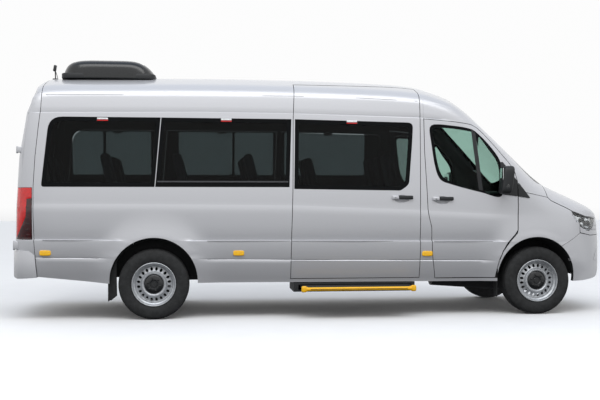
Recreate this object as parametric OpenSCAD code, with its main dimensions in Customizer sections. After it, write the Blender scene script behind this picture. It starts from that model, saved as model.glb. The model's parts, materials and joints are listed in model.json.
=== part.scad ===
// High-roof-line passenger minibus with a side step and a roof air conditioner.
// X runs forward, Y to the left, Z up. The ground is Z = 0, and the origin is
// under the middle of the overall length.

/* [Chassis] */
// Distance between the front and rear axles
wheelbase = 4325; // [3665:5:4900]
// Front axle to the nose
front_overhang = 1004; // [960:1:1150]
// Rear axle to the back of the rear bumper
rear_overhang = 1616; // [1500:1:1950]
// Distance between the tyre centres of one axle
track = 1720; // [1680:1:1740]
// Outer diameter of a tyre
tyre_d = 770; // [690:1:790]
// Width of a tyre
tyre_w = 235; // [195:1:245]
// Diameter of the wheel rim
rim_d = 406; // [381:1:432]
// Diameter of the hub spindles
spindle_d = 80; // [60:1:90]
// Radial running clearance of spindles and pins in their bores
running_gap = 0.05; // [0.02:0.01:0.1]
// Diameter of the king pins
king_pin_d = 32; // [26:1:40]
// Diameter of the rear axle tube
axle_tube_d = 110; // [90:1:130]
// Width of a leaf spring
leaf_w = 70; // [60:1:80]
// Core diameter of the towing eye's threaded hole
tow_thread_d = 20; // [16:1:22]

/* [Body] */
// Greatest body width, without mirrors
body_w = 2020; // [1960:1:2060]
// Height of the roof at its middle
roof_z = 2738; // [2650:1:2900]
// Thickness of body walls, pillars and doors
wall = 60; // [45:1:70]
// Thickness of the bonnet
bonnet_t = 26; // [18:1:35]
// Height of the bottom of the sills
sill_z = 385; // [360:1:420]
// Height of the cabin floor
floor_z = 650; // [620:1:700]
// Thickness of the floor pan
floor_t = 40; // [30:1:60]
// Gap around each opening panel
panel_gap = 7; // [5:0.5:9]
// Thickness of the window panes
pane_t = 6; // [4:0.5:8]
// Radius of the front wheel arch opening
front_arch_r = 455; // [450:1:470]
// Radius of the rear wheel arch opening
rear_arch_r = 475; // [460:1:500]
// Thickness of the wheel arch liners
liner_t = 6; // [4:1:8]

/* [Side step] */
// Length of the step tread
step_l = 1270; // [1000:10:1400]
// Depth of the step tread
step_depth = 300; // [200:5:340]
// Thickness of the step tread
step_t = 46; // [30:1:55]
// How far the step slides in under the sill
step_travel = 220; // [150:5:230]

/* [Cabin] */
// Diameter of the steering wheel
steering_wheel_d = 390; // [360:1:430]
// Diameter of the steering wheel's rim
steering_rim_d = 30; // [24:1:36]
// Width of one seat
seat_w = 420; // [400:1:460]
// Depth of a seat cushion
cushion_l = 430; // [400:1:470]
// Thickness of a seat cushion
cushion_t = 110; // [80:1:140]
// Height of a seat back
back_h = 790; // [560:1:820]
// Thickness of a seat back
back_t = 100; // [80:1:120]
// Backward lean of the seat backs in degrees
back_lean = 14; // [8:1:20]
// Distance between seat rows
seat_pitch = 790; // [740:1:830]

/* [Roof unit] */
// Length of the roof air conditioner
ac_l = 1060; // [800:10:1300]
// Width of the roof air conditioner
ac_w = 1100; // [900:10:1250]
// Height of the roof air conditioner above the roof
ac_h = 215; // [150:5:260]

/* [Hidden] */

silver = "#C8CACE";
black_plastic = "#202224";
glass_black = "#1A1E20";

length = wheelbase + front_overhang + rear_overhang;
nose_x = length / 2;
tail_x = -length / 2;
front_x = nose_x - front_overhang;
rear_x = tail_x + rear_overhang;
half_w = body_w / 2;
tyre_r = tyre_d / 2;
far = 4 * length;
touch = 0.3;

// Places along the body, each tied to the axle, nose or tail that it follows.
body_rear_x = tail_x + 88;
corner_x = tail_x + 342;
b_pillar_x = front_x - 1370;
door_rear_x = front_x - 1316;
bonnet_rear_x = front_x + 132;
slide_rear_x = b_pillar_x - 1458;

// ---------------------------------------------------------------- outlines

function unit(v) = v / norm(v);
function left_of(v) = [-v.y, v.x];

// Moves every side of a counter-clockwise outline inwards by d.
function inset_outline(p, d) = [
  for (i = [0 : len(p) - 1])
    let (
      n = len(p),
      a = left_of(unit(p[i] - p[(i + n - 1) % n])),
      b = left_of(unit(p[(i + 1) % n] - p[i]))
    )
    p[i] + d * (a + b) / (1 + a * b)
];

// Adds the mirror image of the half outline that lies at positive first coordinate.
function mirrored(p) = concat(p, [
  for (i = [len(p) - 1 : -1 : 0]) if (p[i].x > 0.1) [-p[i].x, p[i].y]
]);

// The same for a half outline that lies at positive second coordinate.
function mirrored_y(p) = concat(p, [
  for (i = [len(p) - 1 : -1 : 0]) if (p[i].y > 0.1) [p[i].x, -p[i].y]
]);

// The body seen from the side, on its centre line.
body_profile = [
  [body_rear_x, 0], [nose_x - 60, 0], [nose_x - 36, 385], [nose_x, 450],
  [nose_x, 500], [nose_x - 14, 530], [nose_x - 14, 660], [nose_x - 6, 740],
  [nose_x - 24, 890], [nose_x - 45, 1060], [nose_x - 75, 1115],
  [nose_x - 155, 1200], [nose_x - 272, 1275], [nose_x - 462, 1368],
  [front_x + 322, 1450], [front_x + 222, 1482], [front_x + 156, 1505],
  [front_x + 52, 1612], [front_x - 88, 1761], [front_x - 201, 1883],
  [front_x - 338, 2030], [front_x - 508, 2205], [front_x - 678, 2370],
  [front_x - 828, 2485], [front_x - 968, roof_z - 173], [front_x - 1138, roof_z - 113],
  [front_x - 1318, roof_z - 66], [front_x - 1700, roof_z - 34],
  [front_x - 2600, roof_z - 8], [front_x - 3600, roof_z],
  [rear_x - 400, roof_z - 12], [tail_x + 442, roof_z - 32],
  [tail_x + 352, roof_z - 68], [tail_x + 290, roof_z - 138],
  [tail_x + 262, 2480], [tail_x + 232, 2300], [tail_x + 186, 2000],
  [tail_x + 142, 1650], [tail_x + 104, 1250], [tail_x + 90, 900]
];

// The body seen from the front.
body_section = mirrored([
  [0, 0], [half_w - 80, 0], [half_w - 80, 300], [half_w - 55, 390], [half_w - 20, 600],
  [half_w, 870], [half_w - 5, 1100], [half_w - 15, 1400], [half_w - 75, 2200],
  [half_w - 110, 2410], [half_w - 136, 2490], [half_w - 190, roof_z - 178],
  [half_w - 290, roof_z - 118], [half_w - 460, roof_z - 72],
  [half_w - 710, roof_z - 26], [0, roof_z]
]);

// The body seen from above.
body_plan = mirrored_y([
  [nose_x, 0], [nose_x - 17, 300], [nose_x - 55, 450], [nose_x - 147, 610],
  [nose_x - 272, 760], [nose_x - 422, 870], [nose_x - 582, half_w - 60],
  [nose_x - 772, half_w - 15], [nose_x - 1000, half_w],
  [tail_x + 560, half_w], [tail_x + 420, half_w - 4], [tail_x + 330, half_w - 22],
  [tail_x + 235, half_w - 70], [tail_x + 165, half_w - 135],
  [tail_x + 128, half_w - 220], [tail_x + 96, 480], [tail_x + 88, 0]
]);

// The windscreen leans back by this angle, and bows across the body.
screen_lean = 45;
screen_reach = (front_x - 508 + 2205) * sin(screen_lean) + 2;
screen_bow = mirrored_y([
  [screen_reach, 0], [screen_reach - 18, 300], [screen_reach - 74, 600],
  [screen_reach - 122, 760], [screen_reach - 190, 890],
  [screen_reach - 330, half_w + 40], [-far, half_w + 40]
]);

// The bonnet slopes down by this angle, and is crowned across the body.
bonnet_slope = 24;
bonnet_reach = (nose_x - 462) * sin(bonnet_slope) + 1368 * cos(bonnet_slope) + 4;
bonnet_crown = mirrored([
  [0, -far], [half_w + 60, -far], [half_w + 60, bonnet_reach - 700],
  [half_w - 5, bonnet_reach - 420], [half_w - 60, bonnet_reach - 262],
  [half_w - 130, bonnet_reach - 180], [half_w - 240, bonnet_reach - 112],
  [half_w - 420, bonnet_reach - 50], [half_w - 700, bonnet_reach - 12],
  [0, bonnet_reach]
]);

// Extrudes an outline drawn in X and Z along Y.
module side_cut(outline, y0, y1) {
  translate([0, y1, 0]) rotate([90, 0, 0]) linear_extrude(y1 - y0) polygon(outline);
}

// Extrudes an outline drawn in Y and Z along X.
module section_cut(outline, x0, x1) {
  translate([x0, 0, 0]) rotate([90, 0, 90]) linear_extrude(x1 - x0) polygon(outline);
}

// Extrudes an outline drawn in X and Y along Z.
module plan_cut(outline, z0, z1) {
  translate([0, 0, z0]) linear_extrude(z1 - z0) polygon(outline);
}

module box_at(low, high) {
  translate(low) cube(high - low);
}

module both_sides() {
  children();
  mirror([0, 1, 0]) children();
}

// ---------------------------------------------------------------- body shell

module body_block(inset) {
  intersection() {
    side_cut(inset_outline(body_profile, inset), -half_w - 50, half_w + 50);
    section_cut(inset_outline(body_section, inset), tail_x - 50, nose_x + 50);
    plan_cut(inset_outline(body_plan, inset), -50, roof_z + 50);
    union() {
      rotate([0, -screen_lean, 0])
        plan_cut(inset_outline(screen_bow, inset), -length, length);
      rotate([0, bonnet_slope, 0])
        section_cut(inset_outline(bonnet_crown, inset), -length, length);
    }
  }
}

module shell(outer_inset, inner_inset) {
  difference() {
    body_block(outer_inset);
    body_block(inner_inset);
  }
}

module right_shell(outline, outer_inset = 0, inner_inset = wall) {
  intersection() {
    shell(outer_inset, inner_inset);
    side_cut(outline, -half_w - 20, -620);
  }
}

// Outlines of the side panels and openings, in X and Z.
gutter_z = 2436;
slide_top_z = roof_z - 128;
slide_outline = [
  [slide_rear_x, 432], [b_pillar_x - 4, 432], [b_pillar_x - 2, 900],
  [b_pillar_x, 1300], [b_pillar_x + 12, 2240], [b_pillar_x + 14, slide_top_z],
  [slide_rear_x + 50, slide_top_z], [slide_rear_x + 30, 2200],
  [slide_rear_x + 22, 1438], [slide_rear_x + 2, 753]
];
front_door_outline = [
  [door_rear_x + 124, 426], [front_x - 500, 426], [front_x - 482, 528],
  [front_x - 458, 631], [front_x - 415, 732], [front_x - 358, 826],
  [front_x - 268, 926], [front_x - 246, 966], [front_x - 238, 1237],
  [front_x - 240, 1513], [front_x - 272, 1650], [front_x - 330, 1730],
  [front_x - 476, 1904], [front_x - 620, 2062], [front_x - 680, 2117],
  [front_x - 760, 2158], [front_x - 828, 2172], [front_x - 1006, 2195],
  [door_rear_x, 2220], [door_rear_x + 2, 1855], [door_rear_x + 18, 1510],
  [door_rear_x + 32, 1195], [door_rear_x + 42, 1124], [door_rear_x + 74, 994],
  [door_rear_x + 80, 737], [door_rear_x + 94, 622]
];
front_window_outline = [
  [door_rear_x + 187, 1540], [front_x - 1020, 1496], [front_x - 668, 1403],
  [front_x - 460, 1366], [front_x - 452, 1710],
  [front_x - 560, 1905], [front_x - 725, 2072], [front_x - 800, 2104],
  [front_x - 990, 2132], [front_x - 1198, 2146], [front_x - 1236, 2120],
  [front_x - 1224, 1956], [front_x - 1178, 1654]
];
window_low_z = 1452;
window_top_z = 2190;
rear_window_outline = [
  [tail_x + 462, window_low_z], [rear_x - 12, window_low_z], [rear_x + 62, window_top_z],
  [tail_x + 600, window_top_z], [tail_x + 540, 2160], [tail_x + 500, 2090],
  [tail_x + 452, 1500]
];
middle_window_outline = [
  [rear_x + 42, window_low_z], [slide_rear_x - 40, window_low_z],
  [slide_rear_x - 30, window_top_z], [rear_x + 114, window_top_z]
];
slide_window_outline = [
  [slide_rear_x + 84, window_low_z], [b_pillar_x - 230, window_low_z],
  [b_pillar_x - 160, 1500], [b_pillar_x - 134, 1700], [b_pillar_x - 100, 2090],
  [b_pillar_x - 140, 2172], [b_pillar_x - 180, window_top_z],
  [slide_rear_x + 84, window_top_z]
];
side_outline = [
  [corner_x + 40, 478], [rear_x - 500, sill_z + 15], [front_x - 466, sill_z],
  [front_x - 466, 420], [door_rear_x + 140, 420], [door_rear_x + 140, 1100],
  [door_rear_x - 4, 2226], [door_rear_x - 4, gutter_z],
  [corner_x, gutter_z], [corner_x - 10, 1500], [corner_x - 10, 900]
];
cab_outline = [
  [door_rear_x - 4 + touch, 2230], [front_x - 1000, 2000], [front_x - 500, 1600],
  [front_x - 200, 1402], [bonnet_rear_x, 1336], [front_x + 150, 1560],
  [front_x + 60, 1700], [front_x - 1130, roof_z + 40],
  [front_x - 1130, roof_z - 180], [door_rear_x - 4 + touch, gutter_z]
];
// Where the bonnet meets the wings, lamps and grille, from back to front.
bonnet_seam = [
  [bonnet_rear_x, 1338], [front_x + 172, 1300], [front_x + 294, 1246],
  [front_x + 372, 1212], [nose_x - 570, 1178], [nose_x - 380, 1118],
  [nose_x - 200, 1102], [nose_x - 100, 1066], [nose_x + 20, 1066]
];
// Where the bumper meets the wings and lamps, from the wheel arch forwards.
bumper_seam = [
  [front_x + 120, 700], [front_x + 370, 824], [nose_x - 486, 912], [nose_x - 470, 924]
];

function moved(points, d) = [for (p = points) p + d];
function reversed(points) = [for (i = [len(points) - 1 : -1 : 0]) points[i]];

wing_outline = concat(
  [[front_x - 464, 424], [front_x - 380, 424], [front_x - 200, 700]],
  moved(bumper_seam, [-2, 3]),
  [[nose_x - 476, 1028], [nose_x - 578, 1158]],
  [for (i = [4 : -1 : 0]) bonnet_seam[i] - [4, panel_gap]],
  [
    [front_x - 198, 1396], [front_x - 232, 1420], [front_x - 232, 1237],
    [front_x - 240, 962], [front_x - 250, 922], [front_x - 340, 822],
    [front_x - 409, 728], [front_x - 452, 627], [front_x - 476, 524]
  ]
);

module arches() {
  for (side = [-1, 1]) {
    translate([rear_x, side * (half_w - 160), tyre_r + 35]) rotate([90, 0, 0])
      cylinder(h = 400, r = rear_arch_r, center = true, $fn = 240);
    translate([front_x - 18, side * (half_w - 160), tyre_r + 45]) rotate([90, 0, 0])
      cylinder(h = 400, r = front_arch_r, center = true, $fn = 240);
  }
}

module opening(outline) {
  side_cut(inset_outline(outline, -panel_gap / 2), -half_w - 60, -600);
}

module window_hole(outline) {
  side_cut(outline, -half_w - 60, -600);
}

module side_right() {
  color(silver) difference() {
    right_shell(side_outline);
    opening(slide_outline);
    opening(front_door_outline);
    window_hole(rear_window_outline);
    window_hole(middle_window_outline);
    arches();
  }
}

module side_left() {
  color(silver) mirror([0, 1, 0]) difference() {
    right_shell(side_outline);
    opening(front_door_outline);
    window_hole(rear_window_outline);
    window_hole(middle_window_outline);
    window_hole(slide_window_outline);
    arches();
  }
}

module sliding_door() {
  color(silver) difference() {
    union() {
      right_shell(inset_outline(slide_outline, panel_gap / 2));
      box_at(
        [b_pillar_x - 260, -half_w + 40, floor_z - floor_t - 40],
        [b_pillar_x - 180, -half_w + 160, floor_z - floor_t - touch]
      );
    }
    window_hole(slide_window_outline);
  }
}

module roof() {
  color(silver) difference() {
    intersection() {
      shell(0, wall);
      side_cut([
        [corner_x, gutter_z + touch], [door_rear_x - 4 + touch, gutter_z + touch],
        [front_x - 1130 - touch, roof_z - 180], [front_x - 1130 - touch, roof_z + 40],
        [corner_x, roof_z + 40]
      ], -half_w, half_w);
    }
    opening(slide_outline);
  }
}

module rear_frame() {
  color(silver) difference() {
    intersection() {
      shell(0, wall);
      side_cut([
        [tail_x, bumper_step_z + touch], [corner_x + 14 - touch, bumper_step_z + touch],
        [corner_x - 10 - touch, 900],
        [corner_x - 10 - touch, 1500], [corner_x - touch, gutter_z],
        [corner_x - touch, roof_z], [tail_x, roof_z]
      ], -half_w, half_w);
    }
    rear_hole(inset_outline(rear_doors_outline, -panel_gap / 2), panel_gap);
    both_sides() {
      lamp_block(0);
      box_at([tail_x, -half_w, 400], [corner_x + 60, -bumper_corner_y + touch, bumper_top_z + touch]);
    }
  }
  color("#D8D9DA") both_sides() for (z = rear_hinge_z) {
    for (edge = [-1, 1])
      box_at(
        [rear_hinge_x - 14, -rear_hinge_y - 12, z + edge * 43 - 12],
        [rear_hinge_x + 68, -rear_hinge_y + 12, z + edge * 43 + 12]
      );
    translate([rear_hinge_x, -rear_hinge_y, z - 55]) cylinder(h = 110, r = 8, $fn = 32);
  }
}

rear_door_w = 800;
rear_door_low_z = 764;
bumper_top_z = 752;
bumper_step_z = 600;
bumper_wall = 36;
// The doors' own slab, seen from the side, which follows the slope of the tail.
rear_slab = [
  [tail_x - 10, 700], [tail_x + 205, 700], [tail_x + 205, 1250], [tail_x + 225, 1650],
  [tail_x + 265, 2000], [tail_x + 312, 2300], [tail_x + 345, 2480],
  [tail_x + 355, 2560], [tail_x - 10, 2560]
];

module rear_hole(outline, grow) {
  intersection() {
    section_cut(outline, tail_x - 10, corner_x + 60);
    side_cut(inset_outline(rear_slab, -grow), -half_w, half_w);
  }
}
rear_doors_outline = [
  [-rear_door_w, rear_door_low_z], [rear_door_w, rear_door_low_z], [rear_door_w, 2300],
  [rear_door_w - 60, 2540], [-rear_door_w + 60, 2540], [-rear_door_w, 2300]
];
lamp_low_z = 880;
lamp_top_z = 1440;

rear_hinge_x = tail_x + 112;
rear_hinge_y = rear_door_w + 60;
rear_hinge_z = [820, 1850];
bumper_corner_y = rear_door_w + 8;

module lamp_block(clearance) {
  box_at(
    [tail_x, -half_w, lamp_low_z + clearance],
    [corner_x - 14 - clearance, -rear_door_w - 40 - clearance, lamp_top_z - clearance]
  );
}

module tail_lamps() {
  color("#D80A0A") both_sides() intersection() {
    shell(0, wall - 1);
    lamp_block(touch);
  }
}

module rear_door(side) {
  door = [
    [panel_gap / 2, rear_door_low_z + panel_gap / 2],
    [rear_door_w - panel_gap / 2, rear_door_low_z + panel_gap / 2],
    [rear_door_w - panel_gap / 2, 2300], [rear_door_w - 62, 2540 - panel_gap / 2],
    [panel_gap / 2, 2540 - panel_gap / 2]
  ];
  color(silver) scale_side(side) difference() {
    union() {
      intersection() {
        shell(0, wall);
        rear_hole(door, 0);
      }
      for (z = rear_hinge_z) {
        box_at(
          [rear_hinge_x - 8, rear_door_w - 90, z - 30],
          [tail_x + 190, rear_door_w - 20, z + 30]
        );
        box_at([rear_hinge_x - 8, rear_door_w - 90, z - 30], [rear_hinge_x + 6, rear_hinge_y, z + 30]);
        translate([rear_hinge_x, rear_hinge_y, z - 30]) cylinder(h = 60, r = 14, $fn = 32);
      }
    }
    section_cut(rear_window, tail_x - 10, corner_x);
    for (z = rear_hinge_z) translate([rear_hinge_x, rear_hinge_y, z - 31])
      cylinder(h = 62, r = 8 + running_gap, $fn = 32);
    // the meeting edge is cut back so that one door swings clear of the other
    difference() {
      box_at([tail_x, -1, rear_door_low_z - 1], [corner_x + 60, 120, 2560]);
      translate([rear_hinge_x, rear_hinge_y, rear_door_low_z - 2])
        cylinder(h = 1800, r = rear_hinge_y - panel_gap / 2 + 1, $fn = 240);
    }
  }
}

rear_window = [
  [110, 1500], [rear_door_w - 110, 1500], [rear_door_w - 110, 2200],
  [rear_door_w - 150, 2240], [110, 2240]
];

module scale_side(side) {
  mirror([0, side < 0 ? 1 : 0, 0]) children();
}

module rear_door_glass(side) {
  color(glass_black) scale_side(side) intersection() {
    shell(2, 2 + pane_t);
    section_cut(rear_window, tail_x - 10, corner_x);
  }
}

module side_glass() {
  color(glass_black) {
    both_sides() {
      right_shell(rear_window_outline, 2, 2 + pane_t);
      right_shell(middle_window_outline, 2, 2 + pane_t);
      right_shell(slide_window_outline, 2, 2 + pane_t);
    }
  }
}

screen_outline = mirrored([
  [0, 1530], [560, 1510], [760, 1478], [840, 1500], [800, 1700], [700, 2200],
  [640, 2430], [600, 2490], [0, 2560]
]);
screen_hole = [
  [front_x + 104, 1440], [front_x + 104, 1600], [front_x + 30, 1790],
  [front_x - 980, roof_z + 40], [front_x - 1080, roof_z - 190], [front_x - 600, 2000]
];

module screen_region() {
  intersection() {
    section_cut(screen_outline, front_x - 1200, nose_x);
    side_cut(screen_hole, -half_w, half_w);
  }
}

module windscreen() {
  color(glass_black) intersection() {
    shell(2, 2 + pane_t);
    screen_region();
  }
}

module cab_frame() {
  color(silver) both_sides() intersection() {
    body_block(bonnet_t + touch);
    box_at([front_x + 60, -600, 1380], [bonnet_rear_x + 60, -560, 1560]);
  }
  color(silver) difference() {
    union() {
      intersection() {
        shell(0, wall);
        side_cut(cab_outline, -half_w, half_w);
      }
      intersection() {
        body_block(wall - 1);
        union() {
          box_at([front_x - 210, -rail_out, floor_z], [front_x - 190, rail_out, 900]);
          box_at([front_x - 210, -880, 890], [front_x - 190, 880, 1400]);
          box_at([front_x - 210, -880, 1380], [front_x + 100, 880, 1400]);
        }
      }
    }
    screen_region();
    both_sides() opening(front_door_outline);
    box_at([bonnet_rear_x - panel_gap, -half_w, 1300], [nose_x, half_w, 1600]);
  }
}

door_hinge_x = front_x - 291;
door_hinge_y = half_w - 14;
door_hinge_z = [1010, 1260];
door_pin_r = 5;

module front_wings() {
  color(silver) both_sides() {
    difference() {
      right_shell(wing_outline);
      arches();
      opening(front_door_outline);
    }
    for (z = door_hinge_z) difference() {
      union() {
        translate([door_hinge_x, -door_hinge_y, z - 25]) cylinder(h = 50, r = 11, $fn = 32);
        box_at([door_hinge_x - 11, -door_hinge_y, z - 25], [door_hinge_x + 3, -door_hinge_y + 74, z + 25]);
        box_at(
          [door_hinge_x - 11, -door_hinge_y + 58, z - 25],
          [front_x - 226, -door_hinge_y + 74, z + 25]
        );
        box_at([front_x - 230, -half_w + 40, z - 25], [front_x - 214, -door_hinge_y + 74, z + 25]);
      }
      translate([door_hinge_x, -door_hinge_y, z - 26])
        cylinder(h = 52, r = door_pin_r + running_gap, $fn = 32);
    }
  }
}

bumper_outline = concat(
  [[front_x + 350, 345], [nose_x + 10, 345], [nose_x + 10, 890], [nose_x - 300, 890], [nose_x - 468, 920]],
  reversed(bumper_seam)
);

module front_bumper() {
  color(silver) difference() {
    intersection() {
      shell(0, wall);
      side_cut(bumper_outline, -half_w, half_w);
    }
    arches();
    section_cut([[-520, 470], [520, 470], [500, 640], [-500, 640]], nose_x - 200, nose_x + 10);
  }
}

module grille() {
  color(black_plastic) {
    intersection() {
      shell(4, wall - 10);
      section_cut([
        [-560, 890 + touch], [560, 890 + touch], [560, 1058], [-560, 1058]
      ], nose_x - 300, nose_x + 10);
    }
  }
}

headlamp_outline = concat(
  [[nose_x - 466, 926], [nose_x - 298, 893], [nose_x - 60, 893]],
  [for (i = [7 : -1 : 5]) bonnet_seam[i] - [0, panel_gap]],
  [[nose_x - 562, 1165], [nose_x - 572, 1152], [nose_x - 476 + touch, 1028]]
);

module headlamps() {
  color("#DDE2E6") both_sides() intersection() {
    shell(1, wall);
    side_cut(headlamp_outline, -half_w, -560 - touch);
  }
}

bonnet_outline = concat(bonnet_seam, [[nose_x + 20, 1700], [bonnet_rear_x, 1700]]);

module bonnet() {
  color(silver) intersection() {
    shell(0, bonnet_t);
    side_cut(bonnet_outline, -half_w, half_w);
  }
}

module front_door(side) {
  color(silver) scale_side(-side) {
    difference() {
      right_shell(inset_outline(front_door_outline, panel_gap / 2));
      window_hole(front_window_outline);
      for (z = door_hinge_z) {
        translate([door_hinge_x, -door_hinge_y, z - 31]) cylinder(h = 62, r = 18, $fn = 32);
        box_at([door_hinge_x - 40, -door_hinge_y, z - 31], [front_x, -half_w + 120, z + 31]);
        box_at([door_hinge_x, -door_hinge_y - 3, z - 31], [front_x, -half_w + 120, z + 31]);
      }
    }
    for (z = door_hinge_z)
      translate([door_hinge_x, -door_hinge_y, z - 34]) cylinder(h = 68, r = door_pin_r, $fn = 32);
  }
}

module front_door_glass(side) {
  color("#8CAFA2") scale_side(-side)
    right_shell(front_window_outline, 4, 4 + pane_t);
}

mirror_x = front_x - 395;
mirror_y = half_w + 205;

module mirror_housing(side) {
  color(black_plastic) scale_side(side) {
    translate([mirror_x, mirror_y - 215, 1370]) linear_extrude(330) polygon([
      [-50, 30], [60, 10], [85, 60], [70, 170], [20, 213], [-50, 213]
    ]);
    difference() {
      box_at([mirror_x - 20, half_w - 60, 1440], [mirror_x + 30, mirror_y - 160, 1500]);
      body_block(-touch);
    }
  }
}

// ---------------------------------------------------------------- underside

rail_in = 385;
rail_out = 465;
tow_eye_z = 535;
king_y = track / 2 - 125;
jack_x = [rear_x + 600, front_x - 750];
jack_pad_d = 76;
jack_pad_h = 12;
wheelhouse_y = 690;

module floor() {
  color("#3A3D40") difference() {
    union() {
      intersection() {
        body_block(wall + touch);
        box_at([tail_x + 205, -half_w, floor_z - floor_t], [front_x - 210 - touch, half_w, floor_z]);
      }
      for (side = [-1, 1]) {
        box_at(
          [tail_x + 170, side > 0 ? rail_in : -rail_out, floor_z - floor_t - 130],
          [front_x - 560, side > 0 ? rail_out : -rail_in, floor_z - floor_t + 1]
        );
        box_at(
          [front_x - 561, side > 0 ? rail_in : -rail_out, floor_z - floor_t - 130],
          [nose_x - 180, side > 0 ? rail_out : -rail_in, floor_z - floor_t - 20]
        );
      }
      for (x = cross_x)
        box_at([x, -rail_out, floor_z - floor_t - 110], [x + 60, rail_out, floor_z - floor_t + 1]);
      for (x = jack_x, side = [-1, 1])
        translate([x, side * (rail_in + rail_out) / 2, floor_z - floor_t - 130 - jack_pad_h])
          cylinder(h = jack_pad_h + 1, d = jack_pad_d, $fn = 48);
      box_at(
        [nose_x - 240, -rail_out, floor_z - floor_t - 130],
        [nose_x - 180, rail_out, floor_z - floor_t - 20]
      );
    }
    for (side = [-1, 1]) {
      box_at(
        [rear_x - rear_arch_r - 10, side > 0 ? wheelhouse_y : -half_w, 0],
        [rear_x + rear_arch_r + 10, side > 0 ? half_w : -wheelhouse_y, floor_z + 1]
      );
      box_at(
        [front_x - 500, side > 0 ? rail_out + touch : -half_w, 0],
        [front_x, side > 0 ? half_w : -rail_out - touch, floor_z + 1]
      );
      box_at(
        [door_rear_x - 10, side > 0 ? half_w - 90 : -half_w, 0],
        [front_x - 240, side > 0 ? half_w : -half_w + 90, floor_z + 1]
      );
    }
    translate([nose_x - 240, -(rail_in + rail_out) / 2, tow_eye_z]) rotate([0, 90, 0])
      cylinder(h = 61, d = tow_thread_d, $fn = 48);
  }
}

module liner(x, inner_y, outer_y) {
  r = tyre_r + 85;
  difference() {
    translate([x, outer_y, tyre_r + 15]) rotate([90, 0, 0])
      cylinder(h = outer_y - inner_y, r = r + liner_t, $fn = 96);
    translate([x, outer_y + 1, tyre_r + 15]) rotate([90, 0, 0])
      cylinder(h = outer_y - inner_y - liner_t + 1, r = r, $fn = 96);
    box_at([x - r - 20, inner_y - 1, -tyre_r], [x + r + 20, outer_y + 1, tyre_r + 60]);
  }
}

module wheel_arch_liners() {
  color(black_plastic) both_sides() intersection() {
    union() {
      liner(rear_x, wheelhouse_y + touch, half_w);
      liner(front_x, rail_out + 2 * touch, half_w);
    }
    body_block(wall + touch);
  }
}

// The steered tyre's shoulder sweeps this far back from the king pin
front_flap_x = front_x - sqrt(pow(tyre_r, 2) + pow(tyre_w / 2 + track / 2 - king_y - 42, 2)) - 22;

module mudflaps() {
  color(black_plastic) both_sides() {
    box_at([rear_x - rear_arch_r - 22, 760, 200], [rear_x - rear_arch_r - 10, half_w - 120, floor_z - floor_t - touch]);
    box_at([front_flap_x, 785, 200], [front_flap_x + 12, half_w - 120, tyre_r + 56]);
    intersection() {
      box_at([front_flap_x, 785, tyre_r + 55], [front_flap_x + 12, half_w - 120, 530]);
      translate([front_x, half_w, tyre_r + 15]) rotate([90, 0, 0])
        cylinder(h = half_w, r = tyre_r + 85 - touch, $fn = 96);
    }
  }
}

module engine() {
  color("#55585B") {
    box_at([front_x - 150, -300, 420], [front_x + 560, 300, 1120]);
    box_at([front_x + 200, -rail_in + touch, 500], [front_x + 280, rail_in - touch, 560]);
  }
}

module fuel_tank() {
  color("#2A2C2E") box_at([-350, 500, 340], [650, 860, floor_z - floor_t - touch]);
}

exhaust_z = 370;
cross_x = [tail_x + 220, rear_x - 700, rear_x + 700, -200, 900];

module exhaust() {
  color("#8A8D90") {
    translate([front_x - 800, -250, exhaust_z]) rotate([0, -90, 0])
      cylinder(h = 1900, d = 60, $fn = 32);
    translate([front_x - 1500, -250, exhaust_z]) rotate([0, -90, 0])
      cylinder(h = 700, d = 210, $fn = 40);
    for (x = [cross_x[3], cross_x[4]])
      box_at([x + 20, -258, exhaust_z], [x + 40, -242, floor_z - floor_t - 110 - touch]);
  }
}

module propshaft() {
  color("#4A4C4E") {
    translate([rear_x + 190, 0, tyre_r]) rotate([0, 90, 0])
      cylinder(h = front_x - 900 - rear_x - 190, d = 76, $fn = 40);
    translate([front_x - 1000, 0, tyre_r]) rotate([0, 90, 0])
      cylinder(h = 850 - touch, d1 = 260, d2 = 380, $fn = 40);
  }
}

hub_in = track / 2 - 70;
hub_face = track / 2 + 20;

module rear_axle() {
  color("#3A3D40") {
    translate([rear_x, 0, tyre_r]) rotate([90, 0, 0]) {
      cylinder(h = 2 * hub_in, d = axle_tube_d, center = true, $fn = 48);
      cylinder(h = 2 * (hub_face + 30), d = spindle_d, center = true, $fn = 48);
    }
    translate([rear_x, 0, tyre_r]) sphere(d = 340, $fn = 40);
    for (side = [-1, 1]) translate([rear_x, side * 560, 0]) {
      box_at([-70, -leaf_w / 2, tyre_r], [70, leaf_w / 2, tyre_r + axle_tube_d / 2 + 20]);
      box_at(
        [-640, -leaf_w / 2, tyre_r + axle_tube_d / 2 + 19],
        [640, leaf_w / 2, tyre_r + axle_tube_d / 2 + 50]
      );
      for (end = [-1, 1])
        box_at(
          [end * 620 - 20, -leaf_w / 2, tyre_r + axle_tube_d / 2 + 30],
          [end * 620 + 20, leaf_w / 2, floor_z - floor_t - touch]
        );
    }
  }
}

module front_axle() {
  color("#3A3D40") difference() {
    union() {
      box_at([front_x - 90, -rail_out - 60, 290], [front_x + 90, rail_out + 60, 390]);
      for (side = [-1, 1]) {
        box_at(
          [front_x - 45, side > 0 ? rail_out : -king_y, 250],
          [front_x + 45, side > 0 ? king_y : -rail_out, 292]
        );
        translate([front_x, side * king_y, 250]) cylinder(h = 42, r = 45, $fn = 40);
        box_at(
          [front_x - 90, side > 0 ? rail_in : -rail_out, 389],
          [front_x + 90, side > 0 ? rail_out : -rail_in, floor_z - floor_t - 130 - touch]
        );
      }
    }
    for (side = [-1, 1])
      translate([front_x, side * king_y, 200])
        cylinder(h = 120, d = king_pin_d + 2 * running_gap, $fn = 48);
  }
}

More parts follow.
